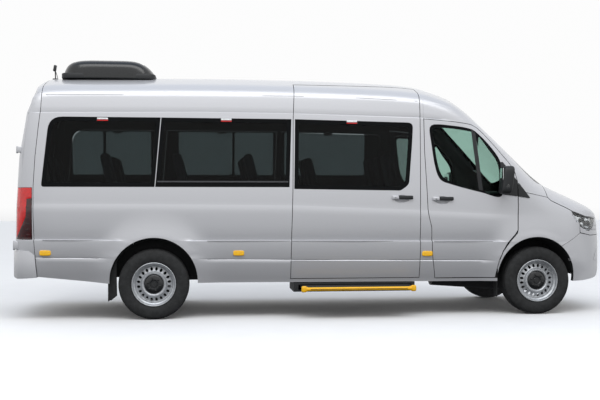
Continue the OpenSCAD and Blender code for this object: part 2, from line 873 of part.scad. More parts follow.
module knuckle(side) {
  color("#4A4C4E") translate([front_x, 0, 0]) {
    translate([0, side * king_y, 240]) cylinder(h = 80, d = king_pin_d, $fn = 48);
    translate([0, side * king_y, 297]) cylinder(h = 200, r = 40, $fn = 40);
    translate([0, side * king_y, tyre_r]) rotate([-90 * side, 0, 0])
      cylinder(h = hub_face + 30 - king_y, d = spindle_d, $fn = 48);
    translate([0, side * king_y, tyre_r]) rotate([-90 * side, 0, 0])
      cylinder(h = hub_in - king_y, d = 150, $fn = 48);
  }
}

// ---------------------------------------------------------------- wheels

rim_r = rim_d / 2;
wheel_half = tyre_w / 2;
tyre_profile = [
  [rim_r + 1, -wheel_half + 22], [rim_r + 14, -wheel_half + 10],
  [tyre_r - 95, -wheel_half], [tyre_r - 40, -wheel_half + 4],
  [tyre_r - 12, -wheel_half + 16], [tyre_r, -wheel_half + 42],
  [tyre_r, wheel_half - 42], [tyre_r - 12, wheel_half - 16],
  [tyre_r - 40, wheel_half - 4], [tyre_r - 95, wheel_half],
  [rim_r + 14, wheel_half - 10], [rim_r + 1, wheel_half - 22]
];
wheel_profile = [
  [spindle_d / 2 + running_gap, -60], [90, -60], [90, 20], [150, 52], [170, 30],
  [rim_r - 16, 20], [rim_r - 16, -wheel_half + 14], [rim_r + 12, -wheel_half + 6],
  [rim_r + 12, -wheel_half + 12 - 4], [rim_r + 0.7, -wheel_half + 22],
  [rim_r + 0.7, wheel_half - 22], [rim_r + 12, wheel_half - 8],
  [rim_r + 12, wheel_half - 4], [rim_r - 14, wheel_half - 14],
  [rim_r - 18, 34], [172, 44], [156, 66], [142, 66], [88, 34], [88, 56],
  [spindle_d / 2 + running_gap, 56]
];

module wheel_at(x, side) {
  translate([x, side * track / 2, tyre_r]) rotate([-90 * side, 0, 0]) children();
}

module tyre(x, side) {
  color("#1C1D1E") wheel_at(x, side) rotate_extrude($fn = 96) polygon(tyre_profile);
}

module wheel(x, side) {
  color("#B8BBBE") wheel_at(x, side) rotate_extrude($fn = 96) polygon(wheel_profile);
}

// ---------------------------------------------------------------- interior

column_lean = 53;
column_d = 40;
steering_centre = [front_x - 780, 450, 1445];

module steering_wheel() {
  color(black_plastic) translate(steering_centre) rotate([0, -column_lean, 0]) {
    translate([0, 0, -230]) cylinder(h = 230, d = column_d, $fn = 40);
    rotate_extrude($fn = 64) translate([(steering_wheel_d - steering_rim_d) / 2, 0])
      circle(d = steering_rim_d, $fn = 24);
    cylinder(h = 40, r = 60, center = true, $fn = 40);
    for (angle = [0, 120, 240]) rotate([0, 0, angle + 60])
      translate([50, -16, -8]) cube([(steering_wheel_d - steering_rim_d) / 2 - 50, 32, 16]);
  }
}

module dashboard() {
  color("#2C2F33") difference() {
    union() {
      translate(steering_centre) rotate([0, -column_lean, 0]) translate([0, 0, -260])
        cylinder(h = 200, d = 110, $fn = 48);
      intersection() {
      body_block(wall + 8);
      side_cut([
        [front_x - 540, 1000], [front_x - 210 - touch, 900], [front_x - 210 - touch, 1380],
        [front_x - 330, 1410], [front_x - 520, 1390], [front_x - 600, 1300],
        [front_x - 610, 1180]
      ], -870, 870);
      }
    }
    translate(steering_centre) rotate([0, -column_lean, 0]) translate([0, 0, -235])
      cylinder(h = 235, d = column_d + 2 * running_gap, $fn = 40);
  }
}

module seat_cushion(x, y, z) {
  box_at([x - cushion_l - 40, y - seat_w / 2, z], [x, y + seat_w / 2, z + cushion_t]);
}

module seat_back(x, y, z) {
  translate([x - cushion_l, y, z]) rotate([0, -back_lean, 0])
    box_at([-back_t + 10, -seat_w / 2, cushion_t - 60], [10, seat_w / 2, cushion_t + back_h]);
}

function row_x(row) = 640 - row * seat_pitch;
seat_gap = 10;
// Each seat is a place: row and distance from the middle of the body.
seat_spots = concat(
  [for (row = [0 : 3], y = [690, 690 - seat_w - seat_gap]) [row_x(row), y]],
  [for (row = [1 : 3]) [row_x(row), -690]],
  [for (y = [660, 220, -220, -660]) [row_x(4) + 60, y]]
);
cab_spots = [
  [front_x - 1000, 450], [front_x - 1000, -190], [front_x - 1000, -190 - seat_w - seat_gap]
];
seat_z = floor_z + 330;
cab_seat_z = floor_z + 330;

module seat(spot, z) {
  difference() {
    union() {
      seat_cushion(spot.x, spot.y, z);
    }
    translate([spot.x - cushion_l, spot.y, z]) rotate([0, -back_lean, 0])
      box_at([-400, -seat_w, -200], [10 + touch, seat_w, 900]);
  }
  seat_back(spot.x, spot.y, z);
}

module cab_seats() {
  color("#2B2E33") for (spot = cab_spots) seat(spot, cab_seat_z);
}

module passenger_seats() {
  color("#2B2E33") for (spot = seat_spots) seat(spot, seat_z);
}

module seat_frame(spot, z) {
  difference() {
    box_at(
      [spot.x - cushion_l + 60, spot.y - seat_w / 2 + 40, floor_z],
      [spot.x - 60, spot.y + seat_w / 2 - 40, z - touch]
    );
    box_at(
      [spot.x - cushion_l + 50, spot.y - seat_w / 2 + 80, floor_z - 1],
      [spot.x - 50, spot.y + seat_w / 2 - 80, z - 40]
    );
    both_sides() box_at(
      [rear_x - tyre_r - 100, wheelhouse_y, 0],
      [rear_x + tyre_r + 100, half_w, 2 * tyre_r + 100 + liner_t + touch]
    );
  }
}

module seat_frames() {
  color("#3C3F42") {
    for (spot = seat_spots) seat_frame(spot, seat_z);
    for (spot = cab_spots) seat_frame(spot, cab_seat_z);
  }
}

// ---------------------------------------------------------------- additions

module roof_air_conditioner() {
  x0 = rear_x - 1060;
  color(black_plastic) difference() {
    translate([0, ac_w / 2, 0]) rotate([90, 0, 0]) linear_extrude(ac_w) polygon([
      [x0, roof_z - 60], [x0, roof_z + 40], [x0 + 90, roof_z + ac_h - 10],
      [x0 + 240, roof_z + ac_h], [x0 + ac_l - 330, roof_z + ac_h - 12],
      [x0 + ac_l - 120, roof_z + ac_h - 60], [x0 + ac_l, roof_z + 30],
      [x0 + ac_l, roof_z - 60]
    ]);
    body_block(-touch);
  }
}

step_x = slide_rear_x + 95;
step_out_y = -half_w - 185;

module side_step() {
  color(black_plastic) difference() {
    union() {
      box_at(
        [step_x - 60, -half_w + 70, sill_z - 100],
        [step_x + step_l + 40, -rail_out - 30, sill_z]
      );
      for (x = [step_x - 60, step_x + step_l + 10])
        box_at([x, -half_w + 120, sill_z - 1], [x + 30, -700, floor_z - floor_t - touch]);
    }
    box_at(
      [step_x - panel_gap, -half_w, sill_z - 20 - step_t - 2 * panel_gap],
      [step_x + step_l + panel_gap, -rail_out - 50, sill_z - 20]
    );
  }
  color(black_plastic) runner(
    -half_w + 80, -rail_out - 60, sill_z - 21 - step_t - 2 * panel_gap,
    sill_z - 20 - step_t - panel_gap - touch
  );
}

module runner(y0, y1, z0, z1) {
  for (x = [step_x + 60, step_x + step_l - 90]) box_at([x, y0, z0], [x + 30, y1, z1]);
}

module step_tread() {
  color("#FFC400") box_at(
    [step_x, step_out_y, sill_z - 20 - step_t - panel_gap],
    [step_x + step_l, step_out_y + step_depth, sill_z - 20 - panel_gap]
  );
}

rear_bumper_plan = mirrored_y([
  [corner_x + 34, 0], [corner_x + 34, half_w - 16], [tail_x + 220, half_w - 40],
  [tail_x + 130, half_w - 110], [tail_x + 66, half_w - 210], [tail_x + 16, 600],
  [tail_x, 350]
]);

module rear_bumper() {
  color(silver) difference() {
    intersection() {
      plan_cut(rear_bumper_plan, 440, bumper_top_z);
      side_cut([
        [tail_x - 1, 520], [tail_x + 40, 482], [corner_x + 33, 470],
        [corner_x + 37 - touch, 478], [corner_x - 4 - touch, bumper_top_z + 1],
        [tail_x - 1, bumper_top_z + 1]
      ], -half_w, half_w);
    }
    plan_cut(inset_outline(rear_bumper_plan, bumper_wall), 400, bumper_step_z - 30);
    plan_cut(inset_outline(body_plan, -touch), bumper_step_z - 31, bumper_top_z + 1);
    box_at([corner_x - 10, -half_w + 90, 400], [corner_x + 60, half_w - 90, bumper_top_z]);
    box_at(
      [tail_x - 1, -bumper_corner_y, bumper_step_z],
      [corner_x + 60, bumper_corner_y, bumper_top_z + 1]
    );
  }
}

floor();
roof();
side_left();
side_right();
rear_frame();
cab_frame();
front_wings();
front_bumper();
rear_bumper();
grille();
headlamps();
tail_lamps();
windscreen();
side_glass();
sliding_door();
roof_air_conditioner();
dashboard();
cab_seats();
passenger_seats();
seat_frames();
side_step();
step_tread();
wheel_arch_liners();
mudflaps();
engine();
fuel_tank();
exhaust();
propshaft();
front_axle();
rear_axle();
knuckle(1);  // knuckle_left
knuckle(-1);  // knuckle_right
wheel(front_x, 1);  // front_wheel_left
wheel(front_x, -1);  // front_wheel_right
wheel(rear_x, 1);  // rear_wheel_left
wheel(rear_x, -1);  // rear_wheel_right
tyre(front_x, 1);  // front_tyre_left
tyre(front_x, -1);  // front_tyre_right
tyre(rear_x, 1);  // rear_tyre_left
tyre(rear_x, -1);  // rear_tyre_right
steering_wheel();
front_door(1);  // front_door_left
front_door(-1);  // front_door_right
front_door_glass(1);  // front_door_glass_left
front_door_glass(-1);  // front_door_glass_right
mirror_housing(1);  // mirror_left
mirror_housing(-1);  // mirror_right
rear_door(1);  // rear_door_left
rear_door(-1);  // rear_door_right
rear_door_glass(1);  // rear_door_glass_left
rear_door_glass(-1);  // rear_door_glass_right
bonnet();
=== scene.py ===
import json
import math
import time

import bpy
import numpy as np
from mathutils import Matrix, Vector


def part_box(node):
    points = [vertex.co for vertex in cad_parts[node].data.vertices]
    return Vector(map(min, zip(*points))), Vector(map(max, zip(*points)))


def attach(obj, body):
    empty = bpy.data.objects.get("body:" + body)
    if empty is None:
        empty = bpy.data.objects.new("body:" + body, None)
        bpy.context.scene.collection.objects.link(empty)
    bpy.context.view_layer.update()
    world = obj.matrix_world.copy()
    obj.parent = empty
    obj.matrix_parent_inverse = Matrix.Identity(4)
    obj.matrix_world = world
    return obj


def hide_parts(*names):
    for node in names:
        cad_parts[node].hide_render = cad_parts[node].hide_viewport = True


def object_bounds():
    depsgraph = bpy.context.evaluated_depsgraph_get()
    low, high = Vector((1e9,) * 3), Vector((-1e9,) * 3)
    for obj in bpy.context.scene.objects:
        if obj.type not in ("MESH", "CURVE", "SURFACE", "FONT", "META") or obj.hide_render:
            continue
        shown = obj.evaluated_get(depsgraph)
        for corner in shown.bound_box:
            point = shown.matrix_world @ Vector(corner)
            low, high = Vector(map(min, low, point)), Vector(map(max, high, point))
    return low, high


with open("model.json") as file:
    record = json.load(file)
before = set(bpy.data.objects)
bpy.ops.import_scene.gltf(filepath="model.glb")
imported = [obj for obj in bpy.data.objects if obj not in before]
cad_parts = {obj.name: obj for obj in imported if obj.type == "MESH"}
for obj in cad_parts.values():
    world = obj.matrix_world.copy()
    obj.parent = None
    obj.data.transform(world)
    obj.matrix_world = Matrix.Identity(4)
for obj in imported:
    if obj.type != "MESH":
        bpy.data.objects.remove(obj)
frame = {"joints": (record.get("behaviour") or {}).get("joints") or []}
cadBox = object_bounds()
startTime = time.time()


def report(stage):
    print(f"{time.time() - startTime:6.1f} s  {stage}")


# Places that the rest is worked out from, in metres
joints = {j["name"]: j for j in frame["joints"]}
noseX = cadBox[1].x
tailX = cadBox[0].x
frontX = joints["steer_left"]["pos_m"][0]
rearX = joints["rear_wheel_left_spin"]["pos_m"][0]
axleZ = joints["rear_wheel_left_spin"]["pos_m"][2]
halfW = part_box("side_left")[1].y
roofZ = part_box("roof")[1].z
bodyRearX = tailX + 0.088
pillarX = frontX - 1.370
doorRearX = frontX - 1.316
bonnetRearX = frontX + 0.132
slideRearX = pillarX - 1.458
cornerX = tailX + 0.342
panelGap = 0.007
beyond = 1.1  # half width that takes a cut past the body
sides = ((-1, "Right"), (1, "Left"))
tailSpan = (tailX - 0.02, cornerX)
noseSpan = (noseX - 0.3, noseX + 0.05)


# Working with objects

def deselect():
    if bpy.context.object and bpy.context.object.mode != "OBJECT":
        bpy.ops.object.mode_set(mode="OBJECT")
    bpy.ops.object.select_all(action="DESELECT")


def pick(obj):
    deselect()
    obj.select_set(True)
    bpy.context.view_layer.objects.active = obj
    return obj


def modify(obj, kind, **settings):
    pick(obj)
    modifier = obj.modifiers.new(kind.lower(), kind)
    for key, value in settings.items():
        setattr(modifier, key, value)
    bpy.ops.object.modifier_apply(modifier=modifier.name)
    return obj


def remove(*objects):
    for obj in objects:
        bpy.data.objects.remove(obj, do_unlink=True)


def copyOf(obj, name):
    copied = obj.copy()
    copied.data = obj.data.copy()
    copied.name = name
    bpy.context.scene.collection.objects.link(copied)
    return copied


def outward(obj):
    pick(obj)
    bpy.ops.object.mode_set(mode="EDIT")
    bpy.ops.mesh.select_all(action="SELECT")
    bpy.ops.mesh.normals_make_consistent(inside=False)
    bpy.ops.object.mode_set(mode="OBJECT")
    return obj


def moveBy(obj, matrix):
    obj.data.transform(matrix)
    if matrix.determinant() < 0:
        obj.data.flip_normals()
    return obj


def mirrored(obj, name):
    return moveBy(copyOf(obj, name), Matrix.Scale(-1, 4, (0, 1, 0)))


def points(obj):
    co = np.empty(len(obj.data.vertices) * 3)
    obj.data.vertices.foreach_get("co", co)
    return co.reshape(-1, 3)


def ofFaces(mesh, kind):
    values = np.empty(len(mesh.polygons) * 3)
    mesh.polygons.foreach_get(kind, values)
    return values.reshape(-1, 3)


def setPoints(obj, co):
    obj.data.vertices.foreach_set("co", np.asarray(co, np.float32).ravel())
    obj.data.update()


def smooth(obj, degrees=32):
    pick(obj)
    bpy.ops.object.shade_smooth_by_angle(angle=math.radians(degrees))
    return obj


def joined(objects):
    deselect()
    for obj in objects:
        obj.select_set(True)
    bpy.context.view_layer.objects.active = objects[0]
    bpy.ops.object.join()
    return objects[0]


def dress(obj, name, material, body="body", stands=(), sharp=32):  # a list becomes one piece
    if isinstance(obj, list):
        obj = joined(obj)
    bpy.context.view_layer.update()
    pick(obj)
    bpy.ops.object.transform_apply(location=True, rotation=True, scale=True)
    obj.name = obj.data.name = name
    if material:
        obj.data.materials.clear()
        obj.data.materials.append(material)
    smooth(obj, sharp)
    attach(obj, body)
    if stands:
        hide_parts(*([stands] if isinstance(stands, str) else stands))
    return obj


def prism(outline, low, high, plane="xz"):
    place = {
        "xz": lambda p, t: (p[0], t, p[1]),
        "yz": lambda p, t: (t, p[0], p[1]),
        "xy": lambda p, t: (p[0], p[1], t),
    }[plane]
    deselect()
    bpy.ops.mesh.primitive_circle_add(vertices=len(outline), fill_type="NGON")
    obj = bpy.context.object
    setPoints(obj, [place(p, low) for p in outline])
    bpy.ops.object.mode_set(mode="EDIT")
    bpy.ops.mesh.select_all(action="SELECT")
    bpy.ops.mesh.extrude_region_move(TRANSFORM_OT_translate={"value": place((0, 0), high - low)})
    bpy.ops.object.mode_set(mode="OBJECT")
    return outward(obj)


def boolean(obj, cutter, operation, keep=False):
    modify(obj, "BOOLEAN", operation=operation, object=cutter, solver="MANIFOLD")
    if not keep:
        remove(cutter)
    return obj


def rounded(outline, radius, steps=6):
    result = []
    count = len(outline)
    radii = radius if isinstance(radius, (list, tuple)) else [radius] * count
    for i, r in enumerate(radii):
        corner = np.array(outline[i], float)
        before = np.array(outline[i - 1], float) - corner
        after = np.array(outline[(i + 1) % count], float) - corner
        lengthB, lengthA = np.linalg.norm(before), np.linalg.norm(after)
        before, after = before / lengthB, after / lengthA
        half = math.acos(max(-1, min(1, float(before @ after)))) / 2
        reach = min(r / math.tan(half), 0.45 * lengthB, 0.45 * lengthA) if half < 1.55 else 0
        if reach < 1e-4:
            result.append(tuple(corner))
            continue
        start, end = corner + before * reach, corner + after * reach
        for k in range(steps + 1):
            t = k / steps
            point = (1 - t) ** 2 * start + 2 * t * (1 - t) * corner + t * t * end
            result.append(tuple(point))
    return result


def across(side, near, far):  # the Y range between two distances from the middle, on one side
    return sorted((side * near, side * far))


def rectangle(left, low, right, high):
    return [(left, low), (right, low), (right, high), (left, high)]


def fromX(origin, *pairs):
    return [(origin + x, z) for x, z in pairs]


def inset(outline, distance):
    pts = [np.array(p, float) for p in outline]
    area = sum(a[0] * b[1] - b[0] * a[1] for a, b in zip(pts, pts[1:] + pts[:1]))
    sign = 1 if area > 0 else -1
    result = []
    for i, p in enumerate(pts):
        a, b = p - pts[i - 1], pts[(i + 1) % len(pts)] - p
        a, b = a / np.linalg.norm(a), b / np.linalg.norm(b)
        na, nb = np.array([-a[1], a[0]]), np.array([-b[1], b[0]])
        result.append(tuple(p + sign * distance * (na + nb) / (1 + na @ nb)))
    return result


# Materials

def colour(text, alpha=1.0):
    channels = [int(text[i : i + 2], 16) / 255 for i in (1, 3, 5)]
    linear = [c / 12.92 if c <= 0.04045 else ((c + 0.055) / 1.055) ** 2.4 for c in channels]
    return (*linear, alpha)


def material(name, **sockets):
    made = bpy.data.materials.new(name)
    made.use_nodes = True
    shader = made.node_tree.nodes["Principled BSDF"]
    for key, value in sockets.items():
        shader.inputs[key.replace("_", " ")].default_value = value
    return made


def addNode(made, kind, links=None, to=None, **settings):
    node = made.node_tree.nodes.new(kind)
    for key, value in settings.items():
        if key.startswith("in_"):
            node.inputs[key[3:].replace("_", " ")].default_value = value
        elif key.startswith("slot"):
            node.inputs[int(key[4:])].default_value = value
        else:
            setattr(node, key, value)
    for socket, source in (links or {}).items():
        made.node_tree.links.new(source, node.inputs[socket])
    if to:
        shader = made.node_tree.nodes["Principled BSDF"]
        made.node_tree.links.new(node.outputs[0], shader.inputs[to])
    return node


def grained(name, first, second, scale, depth, roughness=None, **sockets):
    made = material(name, **sockets)
    place = addNode(made, "ShaderNodeTexCoord")
    noise = addNode(
        made, "ShaderNodeTexNoise", {"Vector": place.outputs["Object"]},
        in_Scale=scale, in_Detail=4.0,
    )
    mixed = addNode(made, "ShaderNodeValToRGB", {0: noise.outputs[0]}, to="Base Color")
    mixed.color_ramp.elements[0].color, mixed.color_ramp.elements[1].color = colour(first), colour(second)
    mixed.color_ramp.elements[0].position, mixed.color_ramp.elements[1].position = 0.35, 0.68
    if roughness:
        addNode(
            made, "ShaderNodeMapRange", {0: noise.outputs[0]}, to="Roughness",
            slot3=roughness[0], slot4=roughness[1],
        )
    if depth:
        addNode(
            made, "ShaderNodeBump", {"Height": noise.outputs[0]}, to="Normal",
            in_Distance=depth, in_Strength=0.5,
        )
    return made


# Two-layer silver metallic car paint, sprayed: fine aluminium flake under clear lacquer
silverPaint = material(
    "silverMetallicPaint", Metallic=0.30, Roughness=0.34,
    Coat_Weight=0.55, Coat_Roughness=0.04,
)


def paintFlake():
    place = addNode(silverPaint, "ShaderNodeTexCoord")
    flake = addNode(
        silverPaint, "ShaderNodeTexNoise", {"Vector": place.outputs["Object"]},
        in_Scale=260.0, in_Detail=2.0,  # real flake is 0.05 mm, drawn as 4 mm clouds so that it shows
    )
    tint = addNode(silverPaint, "ShaderNodeValToRGB", {0: flake.outputs[0]}, to="Base Color")
    tint.color_ramp.elements[0].color = colour("#BDBEC2")
    tint.color_ramp.elements[1].color = colour("#C9CACE")
    addNode(silverPaint, "ShaderNodeMapRange", {0: flake.outputs[0]}, to="Roughness", slot3=0.31, slot4=0.37)


paintFlake()
# Tinted privacy glass: dark grey green, smooth, still lets the far windows show
privacyGlass = material(
    "privacyGlass", Base_Color=colour("#6D7677"), Roughness=0.0, Transmission_Weight=1.0, IOR=1.2,
)
# Green heat-absorbing glass of the cab
greenGlass = material(
    "greenTintGlass", Base_Color=colour("#BDD3CB"), Roughness=0.0, Transmission_Weight=1.0, IOR=1.15,
)
# Black ceramic print on the rim of bonded glass: opaque and glossy
printedGlass = grained(
    "ceramicPrintGlass", "#080A0B", "#0B0D0F", 2.0, 0.0, (0.06, 0.1), Roughness=0.08, Specular_IOR_Level=0.08,
)
# Grained polypropylene, moulded: matt near black with fine leather grain, 0.8 mm
blackPlastic = grained("grainedPolypropylene", "#17191B", "#232527", 900.0, 0.0004, (0.5, 0.62), Roughness=0.55)
# Smooth black ABS, moulded
glossPlastic = grained(
    "glossBlackAbs", "#141618", "#1B1D1F", 60.0, 0.0, (0.22, 0.3), Roughness=0.25, Coat_Weight=0.2,
)
# Tyre tread compound: sooty black rubber, dusty in patches
tyreRubber = grained("tyreRubber", "#191A1B", "#2A2B2C", 24.0, 0.0006, (0.72, 0.88), Roughness=0.8)
# Silver lacquered pressed steel of the wheels
wheelSteel = grained(
    "lacqueredSteelWheel", "#A9ACB0", "#C2C5C8", 40.0, 0.0002, (0.32, 0.45), Metallic=0.55, Roughness=0.38,
)
# Galvanised fastener steel
zincSteel = grained(
    "zincPlatedSteel", "#A3A6A8", "#B9BCBE", 120.0, 0.0001, (0.3, 0.42), Metallic=0.9, Roughness=0.35,
)
# Cathodic dip primer on chassis steel: satin black with road dust
chassisPaint = grained("dipPrimedSteel", "#1C1D1F", "#302F2D", 14.0, 0.0004, (0.5, 0.75), Roughness=0.6)
# Cast iron and aluminium of the engine and hubs
castMetal = grained("castIron", "#3B3C3E", "#55565A", 110.0, 0.0009, (0.5, 0.7), Metallic=0.4, Roughness=0.6)
# Aluminised steel of the exhaust, browned by heat
exhaustSteel = grained(
    "aluminisedSteel", "#75706A", "#96938F", 9.0, 0.0002, (0.38, 0.55), Metallic=0.8, Roughness=0.45,
)
# Woven polyester seat cloth: dark blue grey, thread about 1.2 mm, drawn at 3 mm so that it shows
seatCloth = material("wovenSeatCloth", Roughness=0.92, Sheen_Weight=0.25, Sheen_Roughness=0.5)
# Moulded interior trim, soft grey
cabinTrim = grained("cabinTrimPlastic", "#181A1C", "#222426", 500.0, 0.0004, (0.7, 0.86), Roughness=0.8)
# Needle felt floor and liners
feltLiner = grained("needleFelt", "#1B1C1D", "#2A2B2C", 420.0, 0.0012, (0.9, 1.0), Roughness=0.95)
# Signal yellow powder coat, thick and glossy
yellowCoat = grained(
    "yellowPowderCoat", "#F2B400", "#FFC400", 160.0, 0.0002, (0.3, 0.42), Roughness=0.35, Coat_Weight=0.2,
)
# Matt paper roll of the studio floor
paleFloor = grained("paleStudioPaper", "#F4F4F4", "#F6F6F6", 3.0, 0.0, Roughness=0.8)
# Dyed acrylic lamp lenses
redLens = grained("redAcrylicLens", "#C50808", "#DC0C0C", 30.0, 0.0, (0.06, 0.12), Roughness=0.08, Coat_Weight=0.6)
darkRedLens = grained(
    "smokedRedLens", "#2A0203", "#450406", 30.0, 0.0, (0.08, 0.14), Roughness=0.1, Coat_Weight=0.6,
)
amberLens = grained(
    "amberAcrylicLens", "#F7B500", "#FFC814", 60.0, 0.0, (0.1, 0.2), Roughness=0.15, Coat_Weight=0.5,
)
clearLens = material(
    "clearPolycarbonateLens", Base_Color=colour("#F4F6F7"), Roughness=0.0, Transmission_Weight=1.0, IOR=1.45,
)
# Vacuum-coated reflector inside the headlamp
reflector = grained(
    "aluminisedReflector", "#D9DBDC", "#EBEDEE", 50.0, 0.0, (0.08, 0.16), Metallic=1.0, Roughness=0.12,
)


def clothWeave():
    place = addNode(seatCloth, "ShaderNodeTexCoord")
    waves = [
        addNode(
            seatCloth, "ShaderNodeTexWave", {"Vector": place.outputs["Object"]},
            bands_direction=way, in_Scale=105.0, in_Distortion=0.6,
        )
        for way in ("Y", "Z")
    ]
    woven = addNode(
        seatCloth, "ShaderNodeMath", {0: waves[0].outputs[1], 1: waves[1].outputs[1]}, operation="MULTIPLY",
    )
    tint = addNode(seatCloth, "ShaderNodeValToRGB", {0: woven.outputs[0]}, to="Base Color")
    tint.color_ramp.elements[0].color, tint.color_ramp.elements[1].color = colour("#1E2126"), colour("#33373E")
    addNode(
        seatCloth, "ShaderNodeBump", {"Height": woven.outputs[0]}, to="Normal", in_Distance=0.001, in_Strength=0.6,
    )


clothWeave()
report("materials")

# The smooth outer form of the body: four fair outlines blended into each other

form = {"blend": 0.10, "endBlend": 0.07, "bowBlend": 0.10, "field": 0.015, "wall": 0.055}

bodyProfile = [
    (bodyRearX, -0.3), *fromX(noseX, (-0.2, -0.3), (-0.17, 0.2), (-0.095, 0.385), (-0.035, 0.44),
    (-0.006, 0.5), (-0.002, 0.6), (-0.006, 0.74), (-0.036, 0.89), (-0.074, 1.03), (-0.122, 1.125),
    (-0.19, 1.195), (-0.294, 1.267), (-0.462, 1.354)), *fromX(frontX, (0.322, 1.45), (0.222, 1.482),
    (0.156, 1.508), (0.052, 1.612), (-0.088, 1.761), (-0.201, 1.883), (-0.338, 2.03), (-0.508, 2.205),
    (-0.678, 2.37), (-0.828, 2.485), (-0.968, roofZ - 0.173), (-1.138, roofZ - 0.113), (-1.318, roofZ - 0.066),
    (-1.7, roofZ - 0.034), (-2.6, roofZ - 0.008), (-3.6, roofZ)), (rearX - 0.4, roofZ - 0.012),
    *fromX(tailX, (0.442, roofZ - 0.032), (0.352, roofZ - 0.068), (0.29, roofZ - 0.138), (0.262, 2.48),
    (0.232, 2.3), (0.186, 2.0), (0.142, 1.65), (0.104, 1.25), (0.09, 0.9), (0.088, 0.4)),
]
bodySection = [
    (-0.2, -0.3), (halfW - 0.08, -0.3), (halfW - 0.075, 0.3), (halfW - 0.05, 0.39), (halfW - 0.018, 0.6),
    (halfW, 0.87), (halfW - 0.005, 1.1), (halfW - 0.015, 1.4), (halfW - 0.072, 2.15), (halfW - 0.104, 2.41),
    (halfW - 0.135, 2.56), (halfW - 0.2, 2.8), (halfW - 0.3, 3.1), (-0.2, 3.1),
]
bodyPlan = [
    *fromX(noseX, (0.03, -0.3), (0.03, 0), (0, 0.3), (-0.05, 0.45), (-0.14, 0.61), (-0.262, 0.76),
    (-0.41, 0.87), (-0.57, halfW - 0.052), (-0.76, halfW - 0.004), (-1.0, halfW + 0.06), (-1.4, halfW + 0.1)),
    *fromX(tailX, (0.9, halfW + 0.1), (0.56, halfW + 0.06), (0.42, halfW + 0.02), (0.33, halfW - 0.014),
    (0.235, halfW - 0.065), (0.16, halfW - 0.13), (0.118, halfW - 0.22), (0.07, 0.48), (0.05, 0),
    (0.05, -0.3)),
]
lean = math.radians(45)
screenReach = (frontX - 0.508 + 2.205) * math.sin(lean) + 0.03
screenBow = [
    (screenReach, -0.3), (screenReach, 0), (screenReach - 0.018, 0.3), (screenReach - 0.074, 0.6),
    (screenReach - 0.122, 0.76), (screenReach - 0.19, 0.89), (screenReach - 0.33, halfW + 0.04),
    (screenReach - 1.0, halfW + 0.4), (-8, halfW + 0.4), (-8, -0.3),
]
slope = math.radians(24)
bonnetReach = (noseX - 0.462) * math.sin(slope) + 1.368 * math.cos(slope) + 0.02
bonnetCrown = [
    (-0.3, -3), (halfW + 0.3, -3), (halfW + 0.06, bonnetReach - 0.7), (halfW - 0.005, bonnetReach - 0.42),
    (halfW - 0.06, bonnetReach - 0.262), (halfW - 0.13, bonnetReach - 0.18), (halfW - 0.24, bonnetReach - 0.112),
    (halfW - 0.42, bonnetReach - 0.05), (halfW - 0.7, bonnetReach - 0.012), (0, bonnetReach), (-0.3, bonnetReach),
]


def fairLine(outline, spacing=0.03):
    pts = [np.array(p, float) for p in outline]
    count, result = len(pts), []
    for i in range(count):
        p0, p1, p2, p3 = pts[i - 1], pts[i], pts[(i + 1) % count], pts[(i + 2) % count]
        length = np.linalg.norm(p2 - p1)
        steps = max(1, round(length / spacing))
        # slopes that don't overshoot where a long side meets a short one
        ma = (p2 - p0) / (np.linalg.norm(p2 - p1) + np.linalg.norm(p1 - p0)) * length
        mb = (p3 - p1) / (np.linalg.norm(p3 - p2) + np.linalg.norm(p2 - p1)) * length
        for k in range(steps):
            t = k / steps
            result.append(
                (2 * t**3 - 3 * t**2 + 1) * p1 + (t**3 - 2 * t**2 + t) * ma
                + (3 * t**2 - 2 * t**3) * p2 + (t**3 - t**2) * mb
            )
    return np.array(result)


def fairOutline(outline):
    return [tuple(p) for p in fairLine(outline, 0.035)]


def distanceField(outline):
    line = fairLine(outline)
    step = form["field"]
    low = np.maximum(line.min(0) - 0.3, (-4.0, -0.4))
    high = np.minimum(line.max(0) + 0.5, (4.2, 4.2))
    us, vs = np.arange(low[0], high[0], step), np.arange(low[1], high[1], step)
    a, b = line, np.roll(line, -1, 0)
    along = b - a
    lengths = (along**2).sum(1) + 1e-12
    values = np.empty((len(us), len(vs)))
    for i, u in enumerate(us):
        offset = np.stack([np.full(len(vs), u), vs], 1)[:, None, :] - a[None]
        t = np.clip((offset * along).sum(2) / lengths, 0, 1)
        gap = offset - t[:, :, None] * along
        near = np.sqrt((gap**2).sum(2).min(1))
        crossing = ((a[:, 0] <= u) & (b[:, 0] > u)) | ((b[:, 0] <= u) & (a[:, 0] > u))
        heights = a[crossing, 1] + (u - a[crossing, 0]) / along[crossing, 0] * along[crossing, 1]
        inside = (heights[None] > vs[:, None]).sum(1) % 2 == 1
        values[i] = np.where(inside, -near, near)
    du, dv = np.gradient(values, step)
    return low, step, np.stack([values, du, dv])


def sample(field, u, v):
    low, step, values = field
    fu = np.clip((u - low[0]) / step, 0, values.shape[1] - 1.001)
    fv = np.clip((v - low[1]) / step, 0, values.shape[2] - 1.001)
    i, j = fu.astype(int), fv.astype(int)
    s, t = fu - i, fv - j
    return (
        values[:, i, j] * (1 - s) * (1 - t) + values[:, i + 1, j] * s * (1 - t)
        + values[:, i, j + 1] * (1 - s) * t + values[:, i + 1, j + 1] * s * t
    )


fields = {
    "profile": distanceField(bodyProfile), "section": distanceField(bodySection),
    "plan": distanceField(bodyPlan), "screen": distanceField(screenBow), "bonnet": distanceField(bonnetCrown),
}
report("outline fields")


def ramp(x, low, high):
    t = np.clip((x - low) / (high - low), 0, 1)
    return t * t * (3 - 2 * t)


